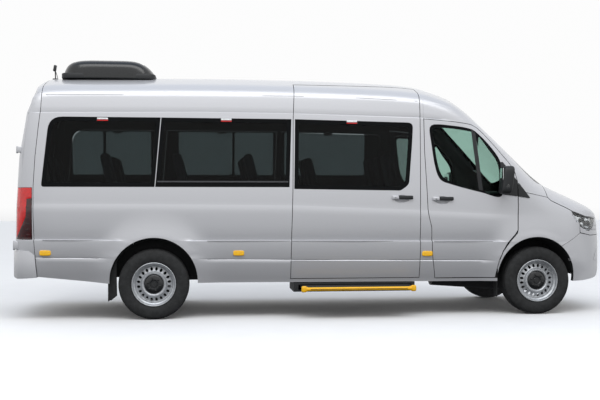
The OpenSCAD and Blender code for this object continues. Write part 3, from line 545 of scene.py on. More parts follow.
def blendMost(a, b, width, least=False):  # the larger or lesser of two fields, rounded where they meet
    first = a[0] < b[0] if least else a[0] > b[0]
    big, small = np.where(first, a, b), np.where(first, b, a)
    h = np.maximum(width - np.abs(a[0] - b[0]), 0) / width
    mixed = (1 - h / 2) * big + h / 2 * small
    mixed[0] = big[0] + (-1 if least else 1) * h * h * width / 4
    return mixed


def bodyField(p):  # signed depth of each point and its slopes
    x, y, z = p[:, 0], np.abs(p[:, 1]), p[:, 2]
    side = np.where(p[:, 1] < 0, -1.0, 1.0)
    zero = np.zeros(len(x))
    crown = 0.238 * y**2 * ramp(z, 1.5, 2.3)
    crownSlope = 0.476 * y * ramp(z, 1.5, 2.3)
    value, du, dv = sample(fields["profile"], x, z + crown)
    profile = np.stack([value, du, dv * crownSlope, dv])
    value, du, dv = sample(fields["section"], y, z)
    section = np.stack([value, zero, du, dv])
    value, du, dv = sample(fields["plan"], x, y)
    plan = np.stack([value, du, dv, zero])
    value, du, dv = sample(fields["screen"], x * math.cos(lean) + z * math.sin(lean), y)
    screen = np.stack([value, du * math.cos(lean), dv, du * math.sin(lean)])
    value, du, dv = sample(fields["bonnet"], y, x * math.sin(slope) + z * math.cos(slope))
    bonnet = np.stack([value, dv * math.sin(slope), du, dv * math.cos(slope)])
    bow = blendMost(screen, bonnet, form["bowBlend"], least=True)
    body = blendMost(blendMost(profile, section, form["blend"]), plan, form["endBlend"])
    body = blendMost(body, bow, form["endBlend"])
    body[2] *= side
    return body


archRear = {"x": rearX, "z": axleZ + 0.035, "r": 0.475}
archFront = {"x": frontX - 0.018, "z": axleZ + 0.045, "r": 0.455}


def formLines(x):  # heights of the lines along the side, from the sill to the roof
    top = np.interp(x, *zip(*sorted(p for p in bodyProfile if p[1] > 1.02)))
    lines = [
        np.full_like(x, -0.05),
        np.full_like(x, 0.385),
        np.interp(x, [-3.1, -1.85, 0, 1.8, 3.4], [0.688, 0.663, 0.640, 0.620, 0.605]),
        np.interp(x, [-3.1, -1.85, 0, 1.8, 3.4], [0.876, 0.860, 0.852, 0.836, 0.82]),
        np.interp(x, [-3.1, -1.8, -0.3, 0.9, 1.8, 2.6], [1.268, 1.263, 1.249, 1.205, 1.157, 1.12]),
        np.interp(x, [-3.1, -1.36, -0.37, 1.11, 1.6], [2.253, 2.276, 2.270, 2.237, 2.19]),
        np.interp(
            x, [-3.2, -2.44, -0.36, 0.32, 1.09, 1.35, 1.52, 1.7],
            [2.44, 2.45, 2.462, 2.454, 2.421, 2.383, 2.333, 2.26],
        ),
        top,
    ]
    for i in range(1, len(lines) - 1):
        lines[i] = np.minimum(lines[i], top - 0.035 * (len(lines) - 1 - i))
    return lines


def reliefOf(x, z):  # how far the side stands out at its grooves, crease, skirt and arches
    groove, crease, belt, band, gutter = formLines(x)[2:7]
    t = np.clip((z - crease) / (belt - crease), 0, 1)
    shoulder = 0.007 * ramp(belt - z, -0.004, 0.05)
    tuck = shoulder - 0.030 * (1 - t) ** 1.9 * ramp(z, crease - 0.001, crease + 0.009)
    u = np.clip((crease - z) / (crease - groove), 0, 1)
    lower = 0.007 - 0.012 * u**2
    skirt = -0.003 - 0.03 * np.clip((groove - z) / 0.26, 0, 1) ** 1.5
    relief = np.where(z > crease, tuck, np.where(z > groove, lower, skirt))
    relief = relief - 0.006 * np.exp(-(((z - groove) / 0.0035) ** 2))
    relief = relief * (1 - ramp(x, 1.9, 2.3)) * ramp(x, tailX + 0.1, tailX + 0.3)
    for line in (band, gutter):
        cut = 0.005 * np.exp(-(((z - line) / 0.0035) ** 2))
        relief = relief - cut * (1 - ramp(x, 1.3, 1.55)) * ramp(x, tailX + 0.2, tailX + 0.4)
    for arch in (archRear, archFront):
        r = np.hypot(x - arch["x"], z - arch["z"]) - arch["r"]
        above = ramp(z, 0.42, 0.6)
        relief = relief * ramp(r, 0.05, 0.24)
        relief = relief + 0.006 * (1 - ramp(r, 0.044, 0.058)) + 0.010 * (1 - ramp(r, 0.06, 0.30)) * above
    return relief


rowPlan = [  # rows of the side between its lines: how many, and close pairs beside each line
    (0, 3), (1, 6), (2, 6), (3, 12), (4, 26), (5, 5), (6, 8),
]


def bodyRows():
    rows = []
    for line, count in rowPlan:
        rows += [(line, k / count, 0.0) for k in range(count)]
        if line in (1, 2, 3, 4, 5):
            rows += [(line + 1, 0.0, d) for d in (-0.009, -0.0045)]
        if line in (2, 3, 5, 6):
            rows += [(line, 0.0, d) for d in (0.0045, 0.009)]
    rows.append((7, 0.0, 0.0))
    middle = formLines(np.zeros(1))
    heights = [
        float(middle[a][0] + f * ((middle[a + 1][0] - middle[a][0]) if a < 7 else 0) + d)
        for a, f, d in rows
    ]
    return [rows[i] for i in np.argsort(heights)]


def cubeGrid(name, across, along, rows):
    deselect()
    bpy.ops.mesh.primitive_cube_add(size=1, location=(0.5, 0.5, 0.5))
    obj = bpy.context.object
    obj.name = name
    bpy.ops.object.transform_apply(location=True)
    for axis, cuts in ((0, along), (1, across), (2, rows)):
        mesh = obj.data
        bpy.ops.object.mode_set(mode="EDIT")
        bpy.ops.mesh.select_mode(type="EDGE")
        bpy.ops.mesh.select_all(action="DESELECT")
        bpy.ops.object.mode_set(mode="OBJECT")
        co = points(obj)
        ends = np.empty(len(mesh.edges) * 2, int)
        mesh.edges.foreach_get("vertices", ends)
        ends = ends.reshape(-1, 2)
        spans = np.abs(co[ends[:, 0]] - co[ends[:, 1]])
        mesh.edges.foreach_set("select", spans[:, axis] > 0.9)
        bpy.ops.object.mode_set(mode="EDIT")
        bpy.ops.mesh.subdivide(number_cuts=cuts - 1)
        bpy.ops.object.mode_set(mode="OBJECT")
    return obj


def settle(p, level, rounds=9):  # moves points to this depth of the body field
    for _ in range(rounds):
        value, dx, dy, dz = bodyField(p)
        slopes = np.stack([dx, dy, dz], 1)
        size = (slopes**2).sum(1, keepdims=True) + 1e-6
        move = -(value - level)[:, None] * slopes / size
        length = np.linalg.norm(move, axis=1, keepdims=True)
        p = p + move * np.minimum(1, 0.25 / np.maximum(length, 1e-9))
    return p


def bodyForm(name, level, relief=False, fine=True):
    rows = bodyRows() if fine else None
    along, across = (248, 60) if fine else (110, 30)
    rowCount = len(rows) - 1 if fine else 34
    obj = cubeGrid(name, across, along, rowCount)
    co = points(obj)
    x = tailX + 0.02 + co[:, 0] * (noseX - tailX - 0.03)
    lines = np.stack(formLines(x))
    if fine:
        index = np.rint(co[:, 2] * rowCount).astype(int)
        plan = np.array([(a, f, d) for a, f, d in rows])
        base = plan[index, 0].astype(int)
        every = np.arange(len(x))
        here, above = lines[base, every], lines[np.minimum(base + 1, 7), every]
        z = here + plan[index, 1] * (above - here) + plan[index, 2]
    else:
        z = lines[0] + co[:, 2] * (lines[7] - lines[0])
    p = np.stack([x, (co[:, 1] * 2 - 1) * halfW, z], 1)
    bottom = co[:, 2] < 1e-6
    flat = p[bottom].copy()
    p = settle(p, level)
    p[bottom, 2] = flat[:, 2]
    if relief:
        value, dx, dy, dz = bodyField(p)
        normal = np.stack([dx, dy, dz], 1)
        normal /= np.linalg.norm(normal, axis=1, keepdims=True) + 1e-9
        amount = reliefOf(p[:, 0], p[:, 2]) * ramp(np.abs(normal[:, 1]), 0.35, 0.75)
        p = p + normal * amount[:, None]
    setPoints(obj, p)
    return outward(obj)


outerForm = bodyForm("outerForm", 0.0, relief=True)
innerForm = bodyForm("innerForm", -form["wall"], fine=False)
report(f"body form, {len(outerForm.data.vertices)} points")
wallForm = copyOf(outerForm, "wallForm")
boolean(wallForm, innerForm, "DIFFERENCE", keep=True)
report(f"body wall, {len(wallForm.data.vertices)} points")

# Panel outlines, in X and Z

gutterZ = 2.436
slideTopZ = roofZ - 0.128
slideOutline = [
    (slideRearX, 0.432), *fromX(pillarX, (-0.004, 0.432), (-0.002, 0.9), (0, 1.3), (0.012, 2.24),
    (0.014, slideTopZ)), *fromX(slideRearX, (0.05, slideTopZ), (0.03, 2.2), (0.022, 1.438), (0.002, 0.753)),
]
doorOutline = [
    (doorRearX + 0.124, 0.426), *fromX(frontX, (-0.5, 0.426), (-0.482, 0.528), (-0.458, 0.631),
    (-0.415, 0.732), (-0.358, 0.826), (-0.268, 0.926), (-0.246, 0.966), (-0.238, 1.237), (-0.24, 1.513),
    (-0.272, 1.65), (-0.33, 1.73), (-0.476, 1.904), (-0.62, 2.062), (-0.68, 2.117), (-0.76, 2.158),
    (-0.828, 2.172), (-1.006, 2.195)), *fromX(doorRearX, (0, 2.22), (0.002, 1.855), (0.018, 1.51),
    (0.032, 1.195), (0.042, 1.124), (0.074, 0.994), (0.08, 0.737), (0.094, 0.622)),
]
sideOutline = [
    (cornerX + 0.04, 0.478), (rearX - 0.5, 0.4), (frontX - 0.466, 0.385), (frontX - 0.466, 0.42),
    *fromX(doorRearX, (0.14, 0.42), (0.14, 1.1), (-0.004, 2.226), (-0.004, gutterZ)),
    *fromX(cornerX, (0.076, gutterZ), (0.072, 2.302), (0.049, 2.094), (0.018, 1.775), (0, 1.443),
    (0.002, 1.135), (0.009, 0.877), (0.02, 0.732)),
]
cabOutline = [
    (doorRearX - 0.003, 2.23), *fromX(frontX, (-1.0, 2.0), (-0.5, 1.6), (-0.2, 1.402)), (bonnetRearX, 1.336),
    *fromX(frontX, (0.15, 1.56), (0.06, 1.7), (-1.13, roofZ + 0.04), (-1.13, roofZ - 0.18)),
    (doorRearX - 0.003, gutterZ),
]
bonnetSeam = [
    (bonnetRearX, 1.338), *fromX(frontX, (0.172, 1.3), (0.294, 1.246), (0.372, 1.212)),
    *fromX(noseX, (-0.57, 1.178), (-0.38, 1.118), (-0.2, 1.102), (-0.1, 1.066), (0.02, 1.066)),
]
bumperSeam = [(frontX + 0.12, 0.7), (frontX + 0.37, 0.824), (noseX - 0.486, 0.912), (noseX - 0.47, 0.924)]
wingOutline = (
    [(frontX - 0.464, 0.424), (frontX - 0.38, 0.424), (frontX - 0.2, 0.7)]
    + [(x - 0.002, z + 0.003) for x, z in bumperSeam]
    + [(noseX - 0.476, 1.028), (noseX - 0.578, 1.158)]
    + [(x - 0.004, z - panelGap) for x, z in reversed(bonnetSeam[:5])]
    + fromX(
        frontX, (-0.198, 1.396), (-0.232, 1.42), (-0.232, 1.237), (-0.24, 0.962), (-0.25, 0.922),
        (-0.34, 0.822), (-0.409, 0.728), (-0.452, 0.627), (-0.476, 0.524),
    )
)
bumperOutline = (
    [
        (frontX + 0.35, 0.375), *fromX(noseX, (-0.42, 0.375), (-0.2, 0.395), (-0.07, 0.43), (0.01, 0.49)),
    ]
    + [(noseX + 0.01, 0.89), (noseX - 0.3, 0.89), (noseX - 0.468, 0.92)]
    + bumperSeam[::-1]
)
bonnetOutline = bonnetSeam + [(noseX + 0.02, 1.7), (bonnetRearX, 1.7)]
glassLowZ, glassTopZ = 1.445, 2.205
windows = {  # the three bonded panes of a side: outline and corner radii
    "rear": (
        [
            (tailX + 0.422, glassLowZ), (rearX + 0.008, glassLowZ), (rearX + 0.072, glassTopZ),
            (tailX + 0.498, glassTopZ),
        ],
        [0.03, 0.0, 0.0, 0.16],
    ),
    "middle": (
        [
            (rearX + 0.016, glassLowZ), (slideRearX - 0.016, glassLowZ), (slideRearX + 0.010, glassTopZ - 0.004),
            (rearX + 0.080, glassTopZ),
        ],
        [0.0, 0.0, 0.0, 0.0],
    ),
    "slide": (
        [
            (slideRearX + 0.037, glassLowZ - 0.02), *fromX(pillarX, (-0.225, glassLowZ - 0.036),
            (-0.128, 1.475), (-0.085, 1.95), (-0.07, glassTopZ - 0.03)),
            (slideRearX + 0.05, glassTopZ - 0.004),
        ],
        [0.0, 0.06, 0.1, 0.2, 0.06, 0.0],
    ),
}


def sideCut(source, outline, name, low=-halfW - 0.05, high=-0.62):
    piece = copyOf(source, name)
    return boolean(piece, prism(outline, low, high), "INTERSECT")


def openUp(piece, outline, low=-halfW - 0.08, high=-0.6):
    return boolean(piece, prism(outline, low, high), "DIFFERENCE")


def archRing(arch):
    turns = np.linspace(0, 2 * math.pi, 96, endpoint=False)
    return [(arch["x"] + arch["r"] * math.cos(a), arch["z"] + arch["r"] * math.sin(a)) for a in turns]


def cutArches(piece):
    for arch in (archRear, archFront):
        boolean(piece, prism(archRing(arch), -halfW - 0.08, -halfW + 0.36), "DIFFERENCE")
    return piece


def skinned(piece, name, body, stands):  # paint outside, trim on the faces that look inwards
    dress(piece, name, None, body, stands)
    mesh = piece.data
    mesh.materials.clear()
    for made in (silverPaint, cabinTrim):
        mesh.materials.append(made)
    depth, *slopes = bodyField(ofFaces(mesh, "center"))
    outwards = (ofFaces(mesh, "normal") * np.stack(slopes, 1)).sum(1) > 0.3
    mesh.polygons.foreach_set("material_index", ((depth < -0.012) & ~outwards).astype(int))
    return piece


def buildSides():
    base = cutArches(sideCut(wallForm, sideOutline, "sideBase"))
    openUp(base, inset(doorOutline, -panelGap / 2))
    for key in ("rear", "middle"):
        openUp(base, rounded(*windows[key]))
    left = copyOf(base, "bodySideLeft")
    openUp(left, rounded(*windows["slide"]))
    left = moveBy(left, Matrix.Scale(-1, 4, (0, 1, 0)))
    openUp(base, inset(slideOutline, -panelGap / 2))
    skinned(base, "bodySideRight", "body", "side_right")
    skinned(left, "bodySideLeft", "body", "side_left")
    door = sideCut(wallForm, inset(slideOutline, panelGap / 2), "slidingDoorSkin")
    openUp(door, rounded(*windows["slide"]))
    skinned(door, "slidingDoorSkin", "body", "sliding_door")
    wing = cutArches(sideCut(wallForm, wingOutline, "wing"))
    openUp(wing, inset(doorOutline, -panelGap / 2))
    skinned(mirrored(wing, "wingLeft"), "wingLeft", "body", ())
    skinned(wing, "wingRight", "body", "front_wings")


cabGlass = [
    (doorRearX + 0.182, 1.53), *fromX(frontX, (-1.02, 1.482), (-0.668, 1.39), (-0.43, 1.35), (-0.43, 1.715),
    (-0.55, 1.915), (-0.722, 2.085), (-0.8, 2.118), (-0.99, 2.146), (-1.198, 2.158), (-1.25, 2.12),
    (-1.236, 1.95), (-1.19, 1.65)),
]


def buildFront():
    door = sideCut(wallForm, inset(doorOutline, panelGap / 2), "cabDoorRight")
    openUp(door, fairOutline(cabGlass))
    skinned(mirrored(door, "cabDoorLeft"), "cabDoorLeft", "front_door_left", "front_door_left")
    skinned(door, "cabDoorRight", "front_door_right", "front_door_right")
    bonnet = sideCut(wallForm, bonnetOutline, "bonnetSkin", -halfW, halfW)
    skinned(bonnet, "bonnetSkin", "bonnet", "bonnet")
    bumper = cutBumper(sideCut(wallForm, bumperOutline, "frontBumperSkin", -halfW, halfW))
    skinned(bumper, "frontBumperSkin", "body", "front_bumper")
    cab = sideCut(wallForm, cabOutline, "cabFrameSkin", -halfW, halfW)
    boolean(cab, screenPrism(0.0), "DIFFERENCE")
    for side in (-1, 1):
        openUp(cab, inset(doorOutline, -panelGap / 2), *across(side, 0.6, halfW + 0.05))
    boolean(cab, prism(rectangle(bonnetRearX - panelGap, 1.2, noseX, 1.6), -beyond, beyond), "DIFFERENCE")
    skinned(cab, "cabFrameSkin", "body", "cab_frame")


def cutBumper(bumper):
    for side in (-1, 1):
        boolean(bumper, prism(archRing(archFront), *across(side, halfW - 0.36, halfW + 0.05)), "DIFFERENCE")
    intake = rounded([(-0.52, 0.47), (0.52, 0.47), (0.5, 0.64), (-0.5, 0.64)], 0.04)
    return boolean(bumper, prism(intake, *noseSpan, "yz"), "DIFFERENCE")


screenHalf = [
    (0, 1.53), (0.56, 1.51), (0.76, 1.478), (0.84, 1.5), (0.80, 1.7), (0.7, 2.2), (0.64, 2.43), (0.6, 2.49), (0, 2.56),
]


def screenPrism(shrink):
    outline = screenHalf + [(-y, z) for y, z in reversed(screenHalf) if y > 0]
    outline = rounded(inset(outline, shrink), 0.05)
    front = prism(outline, frontX - 1.2, noseX, "yz")
    slab = fromX(
        frontX, (0.104, 1.44), (0.104, 1.6), (0.03, 1.79), (-0.98, roofZ + 0.04), (-1.08, roofZ - 0.19),
        (-0.6, 2.0),
    )
    return boolean(front, prism(slab, -halfW, halfW), "INTERSECT")


rearDoorHalf = 0.8
rearWindow = [(0.11, 1.5), (0.69, 1.5), (0.69, 2.2), (0.65, 2.24), (0.11, 2.24)]


def rearSlab(grow):
    slab = fromX(
        tailX, (-0.01, 0.7), (0.205, 0.7), (0.205, 1.25), (0.225, 1.65), (0.265, 2.0), (0.312, 2.3),
        (0.345, 2.48), (0.355, 2.56), (-0.01, 2.56),
    )
    return prism(inset(slab, -grow), -halfW, halfW)


def buildRoofAndRear():
    roof = sideCut(
        wallForm,
        [
            (cornerX + 0.076, gutterZ), (doorRearX - 0.004, gutterZ), (frontX - 1.1303, roofZ - 0.18),
            (frontX - 1.1303, roofZ + 0.04), (cornerX + 0.09, roofZ + 0.04),
        ],
        "roofSkin", -halfW, halfW,
    )
    openUp(roof, inset(slideOutline, -panelGap / 2))
    skinned(roof, "roofSkin", "body", "roof")
    rear = sideCut(
        wallForm,
        [
            (tailX, 0.6003), *fromX(cornerX, (0.02, 0.6003), (0.014, 0.732), (0.003, 0.877), (-0.004, 1.135),
            (-0.006, 1.443), (0.012, 1.775), (0.043, 2.094), (0.066, 2.302), (0.07, gutterZ),
            (0.084, roofZ + 0.02)), (tailX, roofZ + 0.02),
        ],
        "rearFrameSkin", -halfW, halfW,
    )
    w = rearDoorHalf
    hole = [(-w, 0.764), (w, 0.764), (w, 2.3), (w - 0.06, 2.54), (-w + 0.06, 2.54), (-w, 2.3)]
    cutter = prism(rounded(inset(hole, -0.0035), 0.04), tailX - 0.02, cornerX + 0.06, "yz")
    boolean(cutter, rearSlab(0.007), "INTERSECT")
    boolean(rear, cutter, "DIFFERENCE")
    for side in (-1, 1):
        low, high = across(side, w + 0.04, halfW + 0.05)
        lamp = rectangle(low, 0.88, high, 1.44)
        boolean(rear, prism(lamp, tailX - 0.02, cornerX - 0.014, "yz"), "DIFFERENCE")
    skinned(rear, "rearFrameSkin", "body", "rear_frame")
    leaf = [(0.0035, 0.7675), (w - 0.0035, 0.7675), (w - 0.0035, 2.3), (w - 0.062, 2.5365), (0.0035, 2.5365)]
    door = copyOf(wallForm, "rearDoorLeftSkin")
    cutter = prism(rounded(leaf, [0, 0.04, 0.04, 0.04, 0]), tailX - 0.02, cornerX + 0.06, "yz")
    boolean(cutter, rearSlab(0.0), "INTERSECT")
    boolean(door, cutter, "INTERSECT")
    boolean(door, prism(rounded(rearWindow, 0.05), *tailSpan, "yz"), "DIFFERENCE")
    skinned(mirrored(door, "rearDoorRightSkin"), "rearDoorRightSkin", "rear_door_right", "rear_door_right")
    skinned(door, "rearDoorLeftSkin", "rear_door_left", "rear_door_left")


buildSides()
report("side panels")
buildFront()
report("front panels")
buildRoofAndRear()
report("roof and rear panels")

# Glass

def onForm(p, level, rounds=14):  # slides points along Y until they lie at this depth under the body's surface
    p = np.array(p, float)
    for _ in range(rounds):
        value, dx, dy, dz = bodyField(p)
        slope = np.where(np.abs(dy) < 0.25, 0.25 * np.sign(p[:, 1]), dy)
        p[:, 1] -= np.clip((value - level) / slope, -0.15, 0.15)
    return p


def sheetOn(outline, name, level, thickness, side=-1, spacing=0.03, start=0.9):
    low, high = np.min(outline, 0) - 0.02, np.max(outline, 0) + 0.02
    deselect()
    cuts = [max(2, round((b - a) / spacing)) for a, b in zip(low, high)]
    bpy.ops.mesh.primitive_grid_add(x_subdivisions=cuts[0], y_subdivisions=cuts[1], size=1)
    obj = bpy.context.object
    flat = points(obj)
    x = low[0] + (flat[:, 0] + 0.5) * (high[0] - low[0])
    z = low[1] + (flat[:, 1] + 0.5) * (high[1] - low[1])
    p = onForm(np.stack([x, np.full_like(x, side * start), z], 1), level)
    p[:, 1] += side * reliefOf(x, z) * (level > -0.02)
    setPoints(obj, p)
    bpy.ops.object.mode_set(mode="EDIT")
    bpy.ops.mesh.select_all(action="SELECT")
    bpy.ops.mesh.extrude_region_move(TRANSFORM_OT_translate={"value": (0, -side * thickness, 0)})
    bpy.ops.object.mode_set(mode="OBJECT")
    outward(obj)
    obj.name = name
    return boolean(obj, prism(outline, *across(side, 0.3, 1.2)), "INTERSECT")


def borderOn(outline, opening, name, level, thickness, side=-1):
    ring = sheetOn(outline, name, level, thickness, side)
    for hole in opening:
        boolean(ring, prism(hole, *across(side, 0.3, 1.2)), "DIFFERENCE")
    return ring


clearZ = (1.632, 2.185)  # what the printed border leaves clear
clearAreas = {
    "rear": [(-2.981, -2.595), (-2.556, -1.985)], "middle": [(-1.628, -0.935), (-0.903, -0.40)],
    "slide": [(-0.25, 0.82)],
}


def buildSideGlass():
    for side, sideName in sides:
        for key, (outline, radii) in windows.items():
            shape = rounded(inset(outline, 0.0015), radii)
            if side < 0:  # the near border is narrow, with a sill rail
                holes = [rounded(inset(outline, 0.045), [max(0.02, r - 0.03) for r in radii])]
            else:
                holes = [rounded(rectangle(a, clearZ[0], b, clearZ[1]), 0.03) for a, b in clearAreas[key]]
            ring = borderOn(shape, holes, key + "Border" + sideName, -0.004, 0.004, side)
            dress(ring, key + "Border" + sideName, printedGlass, "body", "side_glass")
            pane = sheetOn(rounded(inset(outline, 0.012), radii), key, -0.0085, 0.004, side)
            dress(pane, key + "Pane" + sideName, privacyGlass, "body", "side_glass")


doorGlassHoles = [
    [
        (doorRearX + 0.215, 1.56), *fromX(frontX, (-1.02, 1.512), (-0.675, 1.42), (-0.724, 2.052),
        (-0.82, 2.088), (-0.99, 2.112), (-1.19, 2.122), (-1.213, 2.1), (-1.2, 1.95), (-1.155, 1.67)),
    ],
    fromX(
        frontX, (-0.635, 1.41), (-0.465, 1.385), (-0.465, 1.705), (-0.575, 1.885), (-0.684, 2.012),
    ),
]


def buildCabGlass():
    for side, sideName in sides:
        body = "front_door_" + sideName.lower()
        node = "front_door_glass_" + sideName.lower()
        holes = [fairOutline(h) for h in doorGlassHoles]
        ring = borderOn(fairOutline(inset(cabGlass, 0.0015)), holes, "cabDoorGlassBorder", -0.005, 0.005, side)
        dress(ring, "cabDoorGlassBorder" + sideName, printedGlass, body, node)
        pane = sheetOn(fairOutline(inset(cabGlass, 0.012)), "cabDoorPane", -0.0105, 0.004, side)
        dress(pane, "cabDoorPane" + sideName, greenGlass, body, node)


def buildScreens():
    sheet = copyOf(wallForm, "screen")
    boolean(sheet, screenPrism(0.003), "INTERSECT")
    thin = bodyForm("screenInner", -0.009, fine=False)
    boolean(sheet, thin, "DIFFERENCE", keep=True)
    border = copyOf(sheet, "screenBorder")
    boolean(border, screenPrism(0.05), "DIFFERENCE")
    boolean(sheet, screenPrism(0.0505), "INTERSECT")
    dress(border, "windscreenBorder", printedGlass, "body", "windscreen")
    dress(sheet, "windscreenPane", greenGlass, "body", "windscreen")
    for side, sideName in sides:
        outline = [(y * side, z) for y, z in inset(rearWindow, 0.0015)]
        body = "rear_door_" + sideName.lower()
        node = "rear_door_glass_" + sideName.lower()
        glass = copyOf(wallForm, "rearGlass")
        boolean(glass, prism(rounded(outline, 0.05), *tailSpan, "yz"), "INTERSECT")
        boolean(glass, thin, "DIFFERENCE", keep=True)
        pane = copyOf(glass, "rearPane")
        inner = rounded([(y * side, z) for y, z in inset(rearWindow, 0.04)], 0.03)
        boolean(glass, prism(inner, *tailSpan, "yz"), "DIFFERENCE")
        inner = rounded([(y * side, z) for y, z in inset(rearWindow, 0.0403)], 0.03)
        boolean(pane, prism(inner, *tailSpan, "yz"), "INTERSECT")
        dress(glass, "rearGlassBorder" + sideName, printedGlass, body, node)
        dress(pane, "rearGlassPane" + sideName, privacyGlass, body, node)
    remove(thin)


buildSideGlass()
buildCabGlass()
buildScreens()
report("glass")

# Wheels and tyres, spun round their own axle

wheel = {"holes": 20, "holeRing": 0.168, "holeLong": 0.020, "holeWide": 0.0145, "bolts": 6, "boltRing": 0.068}
trackHalf = 0.86
rimProfile = [  # radius, and how far outboard of the wheel's middle
    (0.2385, 0.104), (0.2385, 0.112), (0.234, 0.1145), (0.229, 0.112), (0.226, 0.104), (0.222, 0.086),
    (0.214, 0.078), (0.206, 0.074), (0.200, 0.062), (0.194, 0.052), (0.188, 0.050), (0.150, 0.064),
    (0.142, 0.070), (0.136, 0.086), (0.128, 0.094), (0.118, 0.094), (0.110, 0.088), (0.104, 0.074),
    (0.060, 0.072), (0.0405, 0.072), (0.0405, 0.052), (0.104, 0.054), (0.128, 0.070), (0.150, 0.052),
    (0.188, 0.036), (0.196, 0.034), (0.196, -0.090), (0.228, -0.104), (0.2385, -0.104), (0.2385, -0.096),
    (0.222, -0.090), (0.204, -0.084), (0.204, 0.030), (0.2125, 0.062), (0.222, 0.074),
]
tyreProfile = [
    (0.228, 0.080), (0.236, 0.098), (0.246, 0.106), (0.262, 0.112), (0.285, 0.117), (0.310, 0.1175), (0.330, 0.115),
    (0.350, 0.110), (0.364, 0.104), (0.374, 0.096), (0.380, 0.086), (0.3825, 0.074), (0.3745, 0.072), (0.3745, 0.066),
    (0.3835, 0.064), (0.3848, 0.030), (0.3765, 0.028), (0.3765, 0.021), (0.385, 0.019), (0.385, 0.0),
]
tyreProfile = tyreProfile + [(r, -w) for r, w in reversed(tyreProfile[:-1])] + [(0.214, -0.07), (0.214, 0.07)]


def spun(profile, name, steps=120):
    deselect()
    bpy.ops.mesh.primitive_circle_add(vertices=len(profile), fill_type="NOTHING")
    obj = bpy.context.object
    obj.name = name
    setPoints(obj, [(r, -w, 0) for r, w in profile])
    bpy.ops.object.mode_set(mode="EDIT")
    bpy.ops.mesh.select_all(action="SELECT")
    bpy.ops.mesh.spin(steps=steps, angle=2 * math.pi, center=(0, 0, 0), axis=(0, 1, 0))
    bpy.ops.mesh.select_all(action="SELECT")
    bpy.ops.mesh.remove_doubles(threshold=0.00005)
    bpy.ops.mesh.normals_make_consistent(inside=False)
    bpy.ops.object.mode_set(mode="OBJECT")
    return obj


def chooseFaces(obj, test):
    mesh = obj.data
    pick(obj)
    bpy.ops.object.mode_set(mode="EDIT")
    bpy.ops.mesh.select_mode(type="FACE")
    bpy.ops.mesh.select_all(action="DESELECT")
    bpy.ops.object.mode_set(mode="OBJECT")
    mesh.polygons.foreach_set("select", test(ofFaces(mesh, "center")))
    bpy.ops.object.mode_set(mode="EDIT")


def buildRim():
    rim = spun(rimProfile, "rim", 160)
    holes = []
    for k in range(wheel["holes"]):
        deselect()
        bpy.ops.mesh.primitive_cylinder_add(vertices=20, radius=1, depth=0.08, rotation=(math.pi / 2, 0, 0))
        hole = bpy.context.object
        bpy.ops.object.transform_apply(rotation=True)
        hole.scale = (wheel["holeLong"], 1, wheel["holeWide"])
        bpy.ops.object.transform_apply(scale=True)
        moveBy(hole, Matrix.Translation((wheel["holeRing"], -0.05, 0)))
        moveBy(hole, Matrix.Rotation(2 * math.pi * (k + 0.5) / wheel["holes"], 4, "Y"))
        holes.append(hole)
    return boolean(rim, joined(holes), "DIFFERENCE")


def buildTyre():
    tyre = spun(tyreProfile, "tyre", 144)
    chooseFaces(  # every other shoulder block is cut down, as lateral grooves
        tyre,
        lambda c: (np.hypot(c[:, 0], c[:, 2]) > 0.3785) & (np.abs(c[:, 1]) > 0.066)
        & (np.floor(np.degrees(np.arctan2(c[:, 2], c[:, 0])) / 2.5 + 0.01).astype(int) % 2 == 0),
    )
    bpy.ops.mesh.inset(thickness=0.0012, depth=-0.006, use_boundary=True)
    bpy.ops.object.mode_set(mode="OBJECT")
    return tyre


def buildCap():
    profile = [
        (0.0, 0.088), (0.030, 0.088), (0.034, 0.084), (0.040, 0.084), (0.046, 0.090), (0.052, 0.091), (0.080, 0.087),
        (0.098, 0.082), (0.105, 0.076), (0.105, 0.070), (0.0, 0.070),
    ]
    cap = spun([(max(r, 0.0001), w) for r, w in profile], "cap", 72)
    bolts = []
    for k in range(wheel["bolts"]):
        deselect()
        bpy.ops.mesh.primitive_cylinder_add(vertices=6, radius=0.0125, depth=0.016, rotation=(math.pi / 2, 0, 0))
        bolt = bpy.context.object
        bpy.ops.object.transform_apply(rotation=True)
        modify(bolt, "BEVEL", width=0.002, segments=2)
        moveBy(bolt, Matrix.Translation((wheel["boltRing"], -0.090, 0)))
        moveBy(bolt, Matrix.Rotation(2 * math.pi * (k + 0.25) / wheel["bolts"], 4, "Y"))
        bolts.append(bolt)
    return joined([cap, *bolts])


def buildWheels():
    rim, tyre, cap = buildRim(), buildTyre(), buildCap()
    for end, x in (("front", frontX), ("rear", rearX)):
        for side, sideName in ((-1, "right"), (1, "left")):
            place = Matrix.Translation((x, side * trackHalf, axleZ))
            if side > 0:
                place = place @ Matrix.Rotation(math.pi, 4, "Z")
            body = end + "_wheel_" + sideName
            tag = end.capitalize() + sideName.capitalize()
            for source, kind, made, slot, node, sharp in (
                (rim, "steelRim", wheelSteel, "wheel_silver", body, 26),
                (tyre, "tyre", tyreRubber, "tyre", end + "_tyre_" + sideName, 24),
                (cap, "hubCap", glossPlastic, "black_plastic", None, 30),
            ):
                piece = moveBy(copyOf(source, kind), place)
                dress(piece, kind + tag, made, body, node or (), sharp)
    remove(rim, tyre, cap)


buildWheels()
report("wheels")

# Thin grey strips along the flanks: painted shade that stands in for the dark shadow lines of the grooves, belt crease
# and gutter
grooveShadeGrey = grained("mouldingPlastic", "#77787B", "#828386", 60.0, 0.0, (0.55, 0.65), Roughness=0.6)

# Shapes for the small pieces

def skinPoint(x, z, side=-1, out=0.0):
    p = onForm([(x, side * 0.95, z)], 0.0)
    return x, float(p[0, 1] + side * (reliefOf(np.array([x]), np.array([z]))[0] + out)), z


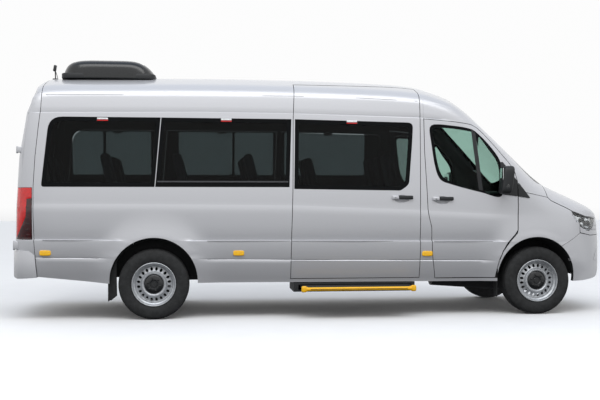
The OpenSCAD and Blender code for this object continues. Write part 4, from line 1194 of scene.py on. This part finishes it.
def block(name, size, place, edge=0.004, segments=3, turn=None):
    deselect()
    bpy.ops.mesh.primitive_cube_add(size=1)
    obj = bpy.context.object
    obj.name = name
    obj.scale = size
    bpy.ops.object.transform_apply(scale=True)
    if edge:
        modify(obj, "BEVEL", width=edge, segments=segments, limit_method="NONE")
    if turn:
        moveBy(obj, Matrix.Rotation(math.radians(turn[1]), 4, turn[0]))
    return moveBy(obj, Matrix.Translation(place))


def rod(name, start, end, radius, sides=24, edge=0.0):
    start, end = Vector(start), Vector(end)
    deselect()
    bpy.ops.mesh.primitive_cylinder_add(vertices=sides, radius=radius, depth=(end - start).length)
    obj = bpy.context.object
    obj.name = name
    if edge:
        modify(obj, "BEVEL", width=edge, segments=2, limit_method="ANGLE")
    return moveBy(
        obj, Matrix.Translation((start + end) / 2) @ (end - start).to_track_quat("Z", "Y").to_matrix().to_4x4(),
    )


def ovalBlock(name, centre, size, power=0.5, cuts=(48, 24)):  # a cushion-like solid: half sizes, and how square
    deselect()
    bpy.ops.mesh.primitive_uv_sphere_add(segments=cuts[0], ring_count=cuts[1], radius=1)
    obj = bpy.context.object
    obj.name = name
    p = points(obj)
    level = np.hypot(p[:, 0], p[:, 1]) + 1e-9
    ring = p[:, :2] / level[:, None]
    flat = np.sign(ring) * np.abs(ring) ** power * (level**power)[:, None]
    p = np.column_stack([flat, np.sign(p[:, 2]) * np.abs(p[:, 2]) ** power])
    setPoints(obj, p * size + centre)
    return obj


# Roof pod and rear roof camera

pod = {"centre": (rearX - 0.53, 0, roofZ - 0.012), "half": (0.53, 0.55, 0.18)}


def buildPod():
    shell = ovalBlock("pod", (0, 0, 0), (1, 1, 1), 0.42, (96, 48))
    p = points(shell)
    long = np.where(p[:, 0] > 0, 0.80, 1.0)  # the front slopes more gently than the back
    p[:, 0] = np.sign(p[:, 0]) * np.abs(p[:, 0]) ** long
    p[:, 0] *= 1 - np.where(p[:, 0] > 0, 0.30, 0.14) * np.clip(p[:, 2], 0, 1) ** 1.2
    ridge = (np.abs(p[:, 1]) < 0.80) & (np.abs(p[:, 0]) < 0.74) & (p[:, 2] > 0.5)
    p[ridge, 2] -= 0.05
    p = p * pod["half"] + np.array(pod["centre"])
    p[:, 2] = np.maximum(p[:, 2], roofZ - 0.05)
    setPoints(shell, p)
    dress(shell, "roofAirUnitShell", glossPlastic, "body", "roof_air_conditioner", 50)
    skirt = prism(
        rounded(rectangle(rearX - 1.055, -0.545, rearX - 0.005, 0.545), 0.12),
        roofZ - 0.06, roofZ - 0.004, "xy",
    )
    modify(skirt, "BEVEL", width=0.006, segments=2, limit_method="ANGLE")
    dress(skirt, "roofAirUnitSkirt", blackPlastic, "body", "roof_air_conditioner")
    vents = [
        block("vent", (0.006, 0.62, 0.006), (rearX - 0.44 - 0.026 * k, 0, roofZ + 0.159), 0.002)
        for k in range(12)
    ]
    dress(vents, "roofAirUnitGrating", blackPlastic, "body", "roof_air_conditioner")
    x = tailX + 0.424
    parts = [
        block("foot", (0.06, 0.045, 0.018), (x, 0, roofZ - 0.012), 0.004),
        rod("post", (x, 0, roofZ - 0.01), (x - 0.004, 0, roofZ + 0.12), 0.007),
        block("eye", (0.034, 0.05, 0.075), (x - 0.006, 0, roofZ + 0.118), 0.010, 4, ("Y", 10)),
        rod("strut", (x + 0.028, 0, roofZ - 0.004), (x + 0.004, 0, roofZ + 0.075), 0.0035, 12),
    ]
    dress(parts, "rearRoofCamera", glossPlastic, "body")


buildPod()

# Rear bumper, tail lamps and hinges

rearPlan = fromX(
    tailX, (0.376, 0.986), (0.27, 0.972), (0.205, 0.94), (0.155, 0.888), (0.115, 0.81), (0.075, 0.65),
    (0.04, 0.45), (0.014, 0.22), (0.002, 0.0),
)


def buildRearEnd():
    outline = [(tailX + 0.376, -0.986)] + [(x, -y) for x, y in rearPlan[1:]] + rearPlan[-2::-1]
    bumper = prism(outline, 0.436, 0.76, "xy")
    side = [
        *fromX(tailX, (-0.01, 0.53), (0.05, 0.475), (0.16, 0.455)), *fromX(cornerX, (0.034, 0.472),
        (0.012, 0.72), (0.008, 0.757)), (tailX - 0.01, 0.757),
    ]
    boolean(bumper, prism(rounded(side, [0.0, 0.05, 0.05, 0, 0, 0, 0.012]), -1.05, 1.05), "INTERSECT")
    treadCut = prism(rectangle(tailX - 0.02, 0.615, tailX + 0.065, 0.78), -0.62, 0.62)
    boolean(bumper, treadCut, "DIFFERENCE")
    modify(bumper, "BEVEL", width=0.007, segments=3, limit_method="ANGLE", angle_limit=math.radians(40))
    dress(bumper, "rearBumperSkin", silverPaint, "body", "rear_bumper", 35)
    tread = prism(inset(outline, 0.006), 0.612, 0.6175, "xy")
    treadSide = inset(rectangle(tailX - 0.02, 0.6, tailX + 0.065, 0.78), 0.002)
    boolean(tread, prism(treadSide, -0.615, 0.615), "INTERSECT")
    dress(tread, "rearBumperTread", blackPlastic, "body")
    bright = fromX(
        tailX, (0, 1.45), (0.334, 1.45), (0.334, 1.325), (0.268, 1.317), (0.257, 1.124), (0.14, 0.885),
        (0, 0.885),
    )
    for side, sideName in sides:
        low, high = across(side, 0.8405, 1.05)
        lens = copyOf(wallForm, "lens")
        frameShape = rectangle(low, 0.884, high, 1.436)
        boolean(lens, prism(frameShape, tailX - 0.02, cornerX - 0.019, "yz"), "INTERSECT")
        dark = copyOf(lens, "lensDark")
        boolean(lens, prism(bright, -beyond, beyond), "INTERSECT")
        boolean(dark, prism(inset(bright, -0.0004), -beyond, beyond), "DIFFERENCE")
        for piece, kind, made in ((lens, "tailLampLens", redLens), (dark, "tailLampSmoked", darkRedLens)):
            modify(piece, "BEVEL", width=0.0035, segments=2, limit_method="ANGLE", angle_limit=math.radians(50))
            dress(piece, kind + sideName, made, "body", "tail_lamps", 40)
        strips = [
            block("strip", (0.05, 0.012, 0.006), skinPoint(tailX + 0.285, 0.93 + 0.06 * k, side, -0.001), 0.002)
            for k in range(6)
        ]
        dress(strips, "tailLampRibs" + sideName, darkRedLens, "body")
        for low, high, x in ((1.815, 1.880, tailX + 0.152), (0.771, 0.858, tailX + 0.118)):
            knuckle = [
                rod("pin", (x, side * 0.862, low - 0.006), (x, side * 0.862, high + 0.006), 0.011, 20, 0.003),
                block("leaf", (0.062, 0.03, high - low), (x + 0.032, side * 0.872, (low + high) / 2), 0.006),
            ]
            dress(knuckle, f"rearHinge{sideName}{round(low * 100)}", silverPaint, "body", "rear_frame")


buildRearEnd()

# Headlamps, grille and nose

lampShape = fromX(
    frontX, (0.425, 1.158), (0.53, 1.128), (0.64, 1.098), (0.73, 1.088), (0.80, 1.078), (0.775, 1.02),
    (0.735, 0.968), (0.68, 0.948), (0.62, 0.962), (0.545, 1.0), (0.47, 1.062),
)
lightBar = fromX(
    frontX, (0.50, 1.046), (0.56, 1.006), (0.63, 0.972), (0.70, 0.958), (0.70, 0.970), (0.635, 0.985),
    (0.565, 1.020), (0.505, 1.060),
)
# Gloss black strip along the top edge of the headlamp: painted shade for the shadow line of the seam above the lamp
lampTopShadeLine = fromX(
    frontX, (0.42, 1.168), (0.53, 1.132), (0.64, 1.102), (0.80, 1.080), (0.80, 1.090), (0.64, 1.114),
    (0.53, 1.146), (0.425, 1.178),
)
fogTrim = fromX(
    noseX, (-0.03, 0.80), (-0.12, 0.735), (-0.20, 0.655), (-0.215, 0.60), (-0.16, 0.585), (-0.03, 0.60),
)


def buildNose():
    shape = fairOutline(lampShape)
    region = fromX(
        noseX, (-0.462, 0.929), (-0.298, 0.8965), (0.01, 0.8965), (0.01, 1.063), (-0.1, 1.063), (-0.2, 1.099),
        (-0.38, 1.115), (-0.562, 1.169), (-0.574, 1.150), (-0.4757, 1.028),
    )
    face = sideCut(wallForm, region, "noseFace", -halfW, halfW)
    boolean(face, prism(inset(shape, -0.004), -beyond, beyond), "DIFFERENCE")
    grilleShape = rounded([(-0.56, 0.905), (0.56, 0.905), (0.60, 1.05), (-0.60, 1.05)], 0.03)
    boolean(face, prism(grilleShape, *noseSpan, "yz"), "DIFFERENCE")
    skinned(face, "noseFaceSkin", "body", ("grille", "headlamps"))
    back = copyOf(wallForm, "grilleBack")
    boolean(back, prism(inset(grilleShape, 0.002), *noseSpan, "yz"), "INTERSECT")
    slats = []
    for k in range(3):
        slat = copyOf(back, "slat")
        z = 0.925 + 0.043 * k
        boolean(slat, prism(rectangle(-0.7, z, 0.7, z + 0.02), *noseSpan, "yz"), "INTERSECT")
        slats.append(moveBy(slat, Matrix.Translation((-0.008, 0, 0))))
    moveBy(back, Matrix.Translation((-0.035, 0, 0)))
    dress(back, "grilleMesh", blackPlastic, "body", "grille")
    dress(slats, "grilleSlats", wheelSteel, "body", "grille")
    intake = rounded([(-0.525, 0.465), (0.525, 0.465), (0.505, 0.645), (-0.505, 0.645)], 0.04)
    mesh = copyOf(wallForm, "intake")
    boolean(mesh, prism(intake, *noseSpan, "yz"), "INTERSECT")
    bars = []
    for k in range(3):
        z = 0.505 + 0.04 * k
        bar = copyOf(mesh, "bar")
        boolean(bar, prism(rectangle(-0.7, z, 0.7, z + 0.012), *noseSpan, "yz"), "INTERSECT")
        bars.append(moveBy(bar, Matrix.Translation((-0.014, 0, 0))))
    moveBy(mesh, Matrix.Translation((-0.03, 0, 0)))
    dress([mesh, *bars], "lowerIntakeMesh", blackPlastic, "body")
    for side, sideName in sides:
        lens = copyOf(wallForm, "lens")
        boolean(lens, prism(shape, *across(side, 0.58, beyond)), "INTERSECT")
        bowl = copyOf(lens, "bowl")
        thin = bodyForm("lampInner", -0.004, fine=False)
        boolean(lens, thin, "DIFFERENCE")
        dress(lens, "headlampLens" + sideName, clearLens, "body", "headlamps", 40)
        behind = bodyForm("lampInner", -0.030, fine=False)
        boolean(bowl, behind, "INTERSECT")
        dress(bowl, "headlampBowl" + sideName, reflector, "body", "headlamps", 40)
        parts = []
        for x, z, r in ((frontX + 0.66, 1.03, 0.036), (frontX + 0.575, 1.068, 0.026)):
            centre = Vector(skinPoint(x, z, side, -0.030))
            parts.append(rod("ring", centre, centre + Vector((0.012, side * 0.018, 0)), r, 32, 0.004))
        bar = sheetOn(fairOutline(lightBar), "bar", -0.012, 0.008, side, 0.015)
        dress([*parts, bar], "headlampInner" + sideName, glossPlastic, "body", "headlamps", 40)
        # painted shade: a black strip on the lamp's top seam, where there is only its shadow
        brow = sheetOn(fairOutline(lampTopShadeLine), "brow", 0.001, 0.01, side, 0.015)
        dress(brow, "headlampBrow" + sideName, glossPlastic, "body", (), 40)


def cutFogTrim():
    ring = fairOutline(fogTrim)
    bumper = bpy.data.objects["frontBumperSkin"]
    for side, sideName in sides:
        low, high = across(side, 0.6, beyond)
        cutter = prism(ring, low, high)
        boolean(cutter, prism(inset(ring, 0.006), low - 0.01, high + 0.01), "DIFFERENCE")
        boolean(bumper, cutter, "DIFFERENCE")
        groove = sheetOn(inset(ring, -0.004), "groove", -0.006, 0.01, side)
        dress(groove, "bumperTrimGroove" + sideName, wheelSteel, "body")


buildNose()
cutFogTrim()
report("nose and rear end")

# Small fittings of the sides

handle = {
    "dimple": (0.088, 0.022, 0.046), "grip": (0.160, 0.026, 0.043), "gripX": 0.036, "cap": (0.078, 0.024, 0.043),
    "capX": -0.084, "out": 0.016, "rise": 0.006, "lock": 0.009,
}
marker = {"half": (0.060, 0.009, 0.029), "places": ((-3.003, 0.737), (-0.937, 0.723), (1.175, 0.704))}
clearance = {
    "white": (0.118, 0.014, 0.022), "red": (0.118, 0.014, 0.012),
    "places": ((-2.407, 2.177), (-1.07, 2.18), (0.329, 2.171)),
}
# grey strips of painted shade on the grooves, the belt crease and the gutter line
grooveShadeLevels = {3: 0.0078, 2: -0.0022, 6: 0.0008}  # form line: how far out its strip stands
mirror = {
    "centre": (2.068, 1.108, 1.527), "half": (0.068, 0.106, 0.158), "arms": (1.44, 1.62), "armRadius": 0.017,
    "sail": [(2.03, 1.37), (2.2235, 1.345), (2.2235, 1.522), (2.06, 1.735), (2.03, 1.735)],
    "tip": [(2.2335, 1.344), (2.375, 1.323), (2.2335, 1.509)],
}
mudflapCheek = [(-2.315, 0.655), (-2.262, 0.655), (-2.255, 0.26), (-2.325, 0.205), (-2.345, 0.24), (-2.338, 0.5)]
stepEdge = {"inward": 0.022, "z": 0.335, "radius": 0.020, "collar": 0.025, "cap": (0.058, 0.033, 0.068), "ribs": 9}


def cutDimple(skinName, x, z, side):
    skin = bpy.data.objects[skinName]
    bowl = ovalBlock("dimple", skinPoint(x, z, side, 0.004), handle["dimple"], 1.0, (40, 20))
    boolean(skin, bowl, "DIFFERENCE")
    smooth(skin)


def buildHandle(tag, x, z, side, body):
    px, py, pz = skinPoint(x, z, side)
    outY, midZ = py + side * handle["out"], pz + handle["rise"]
    grip = block("grip", handle["grip"], (px + handle["gripX"], outY, midZ), 0.012, 5)
    dress(grip, tag + "Grip", blackPlastic, body)
    cap = block("cap", handle["cap"], (px + handle["capX"], outY, midZ), 0.011, 5)
    dress(cap, tag + "Cap", silverPaint, body)
    key = rod("key", (px - 0.085, py, midZ), (px - 0.085, py + side * 0.031, midZ), handle["lock"], 20, 0.001)
    dress(key, tag + "Lock", zincSteel, body)


def lineOutline(k, start, end, height=0.0055):
    x = np.linspace(start, end, 24)
    z = formLines(x)[k]
    return [*zip(x.tolist(), (z - height / 2).tolist()), *zip(x[::-1].tolist(), (z[::-1] + height / 2).tolist())]


def buildFittings():
    cutDimple("slidingDoorSkin", 0.885, 1.316, -1)
    cutDimple("cabDoorRight", 1.349, 1.302, -1)
    cutDimple("cabDoorLeft", 1.349, 1.302, 1)
    buildHandle("slidingDoorHandle", 0.895, 1.326, -1, "body")
    buildHandle("cabDoorHandleRight", 1.359, 1.312, -1, "front_door_right")
    buildHandle("cabDoorHandleLeft", 1.359, 1.312, 1, "front_door_left")
    for side, sideName in sides:
        for k, (x, z) in enumerate(marker["places"]):
            lens = ovalBlock("marker", skinPoint(x, z, side, 0.001), marker["half"], 0.42, (40, 20))
            dress(lens, f"sideMarker{sideName}{k}", amberLens, "body")
        for k, (x, z) in enumerate(clearance["places"]):
            white = block("lamp", clearance["white"], skinPoint(x, z + 0.008, side, 0.003), 0.004)
            dress(white, f"clearanceLamp{sideName}{k}", reflector, "body")
            red = block("lamp", clearance["red"], skinPoint(x, z - 0.010, side, 0.003), 0.003)
            dress(red, f"clearanceLens{sideName}{k}", redLens, "body")
        rail = sheetOn(
            [
                (rearX + 0.035, 1.497), (slideRearX - 0.03, 1.497), (slideRearX - 0.03, 1.512),
                (rearX + 0.036, 1.512),
            ],
            "rail", 0.004, 0.010, side,
        )
        dress(rail, "windowRail" + sideName, castMetal, "body", (), 40)
        door = "front_door_" + sideName.lower()
        bar = sheetOn([(1.700, 2.10), (1.775, 1.42), (1.822, 1.41), (1.747, 2.09)], "bar", -0.0045, 0.005, side)
        dress(bar, "cabWindowBar" + sideName, blackPlastic, door, (), 40)
        # each strip is painted shade: grey plastic laid where the groove's shadow falls
        for k, level in grooveShadeLevels.items():
            spans = [
                (cornerX + 0.10, rearX - 0.58), (rearX + 0.58, slideRearX - 0.012),
                (slideRearX + 0.012, pillarX - 0.012),
            ]
            if k == 6:
                spans = [(cornerX + 0.12, pillarX - 0.01)]
            strips = [sheetOn(lineOutline(k, *span), "strip", level, 0.004, side) for span in spans]
            dress(strips, f"bodyMoulding{sideName}{k}", grooveShadeGrey, "body", (), 40)
            if k < 6:
                strip = sheetOn(lineOutline(k, doorRearX + 0.10, 1.93), "strip", level, 0.004, side)
                dress(strip, f"doorMoulding{sideName}{k}", grooveShadeGrey, door, (), 40)
        sail = sheetOn(rounded(mirror["sail"], 0.008), "sail", 0.008, 0.02, side)
        dress(sail, "mirrorSail" + sideName, blackPlastic, door, (), 40)
        tip = sheetOn(rounded(mirror["tip"], 0.01), "tip", 0.008, 0.02, side)
        dress(tip, "mirrorSailTip" + sideName, blackPlastic, "body", (), 40)
        mx, my, mz = mirror["centre"]
        shell = ovalBlock("shell", (mx, side * my, mz), mirror["half"], 0.42, (56, 28))
        p = points(shell)
        p[:, 0] += 0.02 * (p[:, 2] - mz) / mirror["half"][2] - 0.02 * np.abs(p[:, 1] - side * 1.0) / 0.2
        setPoints(shell, p)
        node = "mirror_" + sideName.lower()
        dress(shell, "mirrorShell" + sideName, blackPlastic, door, node, 50)
        arms = [
            rod("arm", (2.09, side * 0.965, z), (2.075, side * 1.05, z + 0.01), mirror["armRadius"], 20, 0.004)
            for z in mirror["arms"]
        ]
        dress(arms, "mirrorArms" + sideName, blackPlastic, door, node, 50)
        glass = block("glass", (0.006, 0.168, 0.24), (1.995, side * 1.112, 1.54), 0.002, 2, ("Z", side * 4))
        dress(glass, "mirrorGlass" + sideName, reflector, door)
        lamp = ovalBlock("lamp", (2.038, side * 1.203, 1.452), (0.022, 0.014, 0.030), 0.6, (28, 14))
        dress(lamp, "mirrorIndicator" + sideName, clearLens, door, (), 50)
        bulb = ovalBlock("bulb", (2.038, side * 1.200, 1.450), (0.010, 0.010, 0.012), 1.0, (20, 10))
        dress(bulb, "mirrorBulb" + sideName, amberLens, door, (), 50)
        cheek = prism(rounded(mudflapCheek, 0.012), *across(side, 0.885, 0.905))
        modify(cheek, "BEVEL", width=0.003, segments=2, limit_method="ANGLE")
        dress(cheek, "mudflapCheek" + sideName, tyreRubber, "body")


def buildStep():
    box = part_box("step_tread")
    length, middle = box[1].x - box[0].x, (box[0].x + box[1].x) / 2
    plate = block("plate", (length - 0.03, 0.27, 0.016), (middle, box[0].y + 0.16, box[1].z - 0.012), 0.003)
    ribs = [
        block("rib", (length - 0.08, 0.006, 0.004), (middle, box[0].y + 0.06 + 0.022 * k, box[1].z - 0.003), 0.0015)
        for k in range(stepEdge["ribs"])
    ]
    dress([plate, *ribs], "stepPlate", blackPlastic, "step", "step_tread")
    left, right, edgeY, edgeZ = box[0].x, box[1].x, box[0].y + stepEdge["inward"], stepEdge["z"]
    nosing = rod("nosing", (left + 0.03, edgeY, edgeZ), (right - 0.03, edgeY, edgeZ), stepEdge["radius"], 28)
    grooves = [
        rod("bead", (left + 0.04, box[0].y + 0.004, z), (right - 0.04, box[0].y + 0.004, z), 0.003, 10)
        for z in (0.328, 0.342)
    ]
    ends = []
    for x, way in ((left, 1), (right, -1)):
        ends.append(block("cap", stepEdge["cap"], (x + way * 0.029, box[0].y + 0.0175, 0.336), 0.015, 4))
        span = (x + way * 0.055, edgeY, edgeZ), (x + way * 0.072, edgeY, edgeZ)
        ends.append(rod("collar", *span, stepEdge["collar"], 28, 0.003))
    dress([nosing, *grooves, *ends], "stepNosing", yellowCoat, "step", "step_tread", 40)
    slot = block("slot", (length - 0.2, 0.004, 0.004), (middle, box[0].y + 0.0005, 0.335), 0.0)
    dress(slot, "stepNosingSlot", blackPlastic, "step")


buildFittings()
buildStep()
report("fittings")

# Seats: padded by cloth simulation, once for the cushion and once for the back

seat = {
    "cushion": (0.455, 0.405, 0.098), "back": (0.090, 0.405, 0.815), "voxel": 0.022, "puff": 0.007, "frames": 20,
    "rowX": 0.64, "pitch": 0.79, "lean": -14, "fill": 0.7,
}


def paddedForm(name, size):
    pad = block(name, size, (0, 0, 0), 0.032, 4)
    if name == "back":  # narrower towards the head, with a shaped shoulder line
        p = points(pad)
        rise = np.clip((p[:, 2] - 0.18) / 0.22, 0, 1)
        p[:, 1] *= 1 - 0.30 * rise**1.5
        setPoints(pad, p)
    modify(pad, "REMESH", mode="VOXEL", voxel_size=seat["voxel"])
    before = points(pad).copy()
    pick(pad)
    cloth = pad.modifiers.new("cloth", "CLOTH")
    cloth.settings.use_pressure = True
    cloth.settings.uniform_pressure_force = 4
    cloth.settings.effector_weights.gravity = 0
    for number in range(1, seat["frames"] + 1):
        bpy.context.scene.frame_set(number)
    bpy.ops.object.modifier_apply(modifier=cloth.name)
    after = points(pad)
    move = after - before
    length = np.linalg.norm(move, axis=1, keepdims=True)
    setPoints(pad, before + move * np.minimum(1, seat["puff"] / np.maximum(length, 1e-9)))
    bpy.context.scene.frame_set(1)
    modify(pad, "SUBSURF", levels=1, render_levels=1)
    p = points(pad)  # sewn channels across the middle
    if name == "cushion":
        for x in (-0.08, 0.06):
            p[:, 2] -= 0.006 * np.exp(-(((p[:, 0] - x) / 0.012) ** 2)) * (p[:, 2] > 0) * (np.abs(p[:, 1]) < 0.17)
    else:
        for z in (-0.2, -0.05, 0.1):
            p[:, 0] -= 0.006 * np.exp(-(((p[:, 2] - z) / 0.012) ** 2)) * (p[:, 0] > 0) * (np.abs(p[:, 1]) < 0.15)
    setPoints(pad, p)
    return pad


def buildSeats():
    cushion, back = paddedForm("cushion", seat["cushion"]), paddedForm("back", seat["back"])
    rows = [seat["rowX"] - seat["pitch"] * k for k in range(4)]
    spots = [(x, y, "passenger") for x in rows for y in (0.69, 0.25)] + [(x, -0.69, "passenger") for x in rows[1:]]
    spots += [(0.64 - 3.16 + 0.06, y, "passenger") for y in (0.66, 0.22, -0.22, -0.66)]
    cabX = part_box("cab_seats")[1].x
    spots += [(cabX, y, "cab") for y in (0.45, -0.19, -0.62)]
    for k, (x, y, kind) in enumerate(spots):
        node = kind + "_seats"
        low = copyOf(cushion, "seatCushion")
        moveBy(low, Matrix.Translation((x - 0.233, y, 1.035)))
        dress(low, f"{kind}SeatCushion{k}", seatCloth, "body", node, 60)
        high = copyOf(back, "seatBack")
        foot = Matrix.Translation((x - (0.446 if kind == "cab" else 0.43), y, 0.98))
        lean = Matrix.Rotation(math.radians(seat["lean"]), 4, "Y")
        moveBy(high, foot @ lean @ Matrix.Translation((-0.04, 0, 0.478)))
        dress(high, f"{kind}SeatBack{k}", seatCloth, "body", node, 60)
    remove(cushion, back)


buildSeats()
report("seats")

# Finishes of the CAD nodes that stay as they are

nodeFinishes = {
    "floor": chassisPaint, "seat_frames": chassisPaint, "propshaft": chassisPaint, "front_axle": chassisPaint,
    "rear_axle": chassisPaint, "engine": castMetal, "knuckle_left": castMetal, "knuckle_right": castMetal,
    "fuel_tank": blackPlastic, "exhaust": exhaustSteel, "wheel_arch_liners": feltLiner, "mudflaps": tyreRubber,
    "side_step": blackPlastic, "dashboard": cabinTrim, "steering_wheel": blackPlastic,
}
for node, made in nodeFinishes.items():
    bpy.data.objects[node].data.materials.clear()
    bpy.data.objects[node].data.materials.append(made)

# Stage, light and camera

studio = {"sky": "#C9D6EA", "wall": "#FFFFFF", "dark": "#4A4C50", "strength": 0.98, "key": 400}


def buildStage():
    deselect()
    bpy.ops.mesh.primitive_plane_add(size=90, location=(0, 0, 0))
    floor = bpy.context.object
    floor.name = "studioFloor"
    floor.data.materials.append(paleFloor)
    floor.visible_glossy = floor.visible_diffuse = False  # keeps the lower body as shaded as over a dark floor
    world = bpy.data.worlds.new("studio")
    bpy.context.scene.world = world
    world.use_nodes = True
    nodes, links = world.node_tree.nodes, world.node_tree.links
    place, height, tone = (
        nodes.new(k)
        for k in ("ShaderNodeTexCoord", "ShaderNodeSeparateXYZ", "ShaderNodeValToRGB")
    )
    links.new(place.outputs["Generated"], height.inputs[0])
    rise = nodes.new("ShaderNodeMapRange")
    rise.inputs[1].default_value = -1
    links.new(height.outputs[2], rise.inputs[0])
    links.new(rise.outputs[0], tone.inputs[0])
    stops = tone.color_ramp.elements
    for where, shade in ((0.36, studio["dark"]), (0.47, "#C8CACD"), (0.495, studio["wall"]), (0.8, studio["wall"])):
        stops.new(where).color = colour(shade)
    stops[0].color = colour(studio["dark"])
    stops[-1].color = colour(studio["sky"])
    links.new(tone.outputs[0], nodes["Background"].inputs["Color"])
    nodes["Background"].inputs["Strength"].default_value = studio["strength"]
    deselect()
    bpy.ops.object.light_add(type="AREA", location=(-1, -5.5, 7.5), rotation=(math.radians(36), 0, 0))
    key = bpy.context.object
    key.data.shape, key.data.size, key.data.size_y, key.data.energy = "RECTANGLE", 11, 4, studio["key"]


def buildCamera():
    deselect()
    bpy.ops.object.camera_add(
        location=(-1.372, -10.845, 1.309),
        rotation=(math.radians(89.97), 0, math.radians(-6.44)),
    )
    camera = bpy.context.object
    camera.data.lens = 53.87
    camera.data.sensor_width = 36
    camera.data.clip_end = 200
    bpy.context.scene.camera = camera


buildStage()
buildCamera()
bpy.context.scene.view_settings.view_transform = "Standard"

remove(outerForm, innerForm, wallForm)
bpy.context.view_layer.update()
report("done")
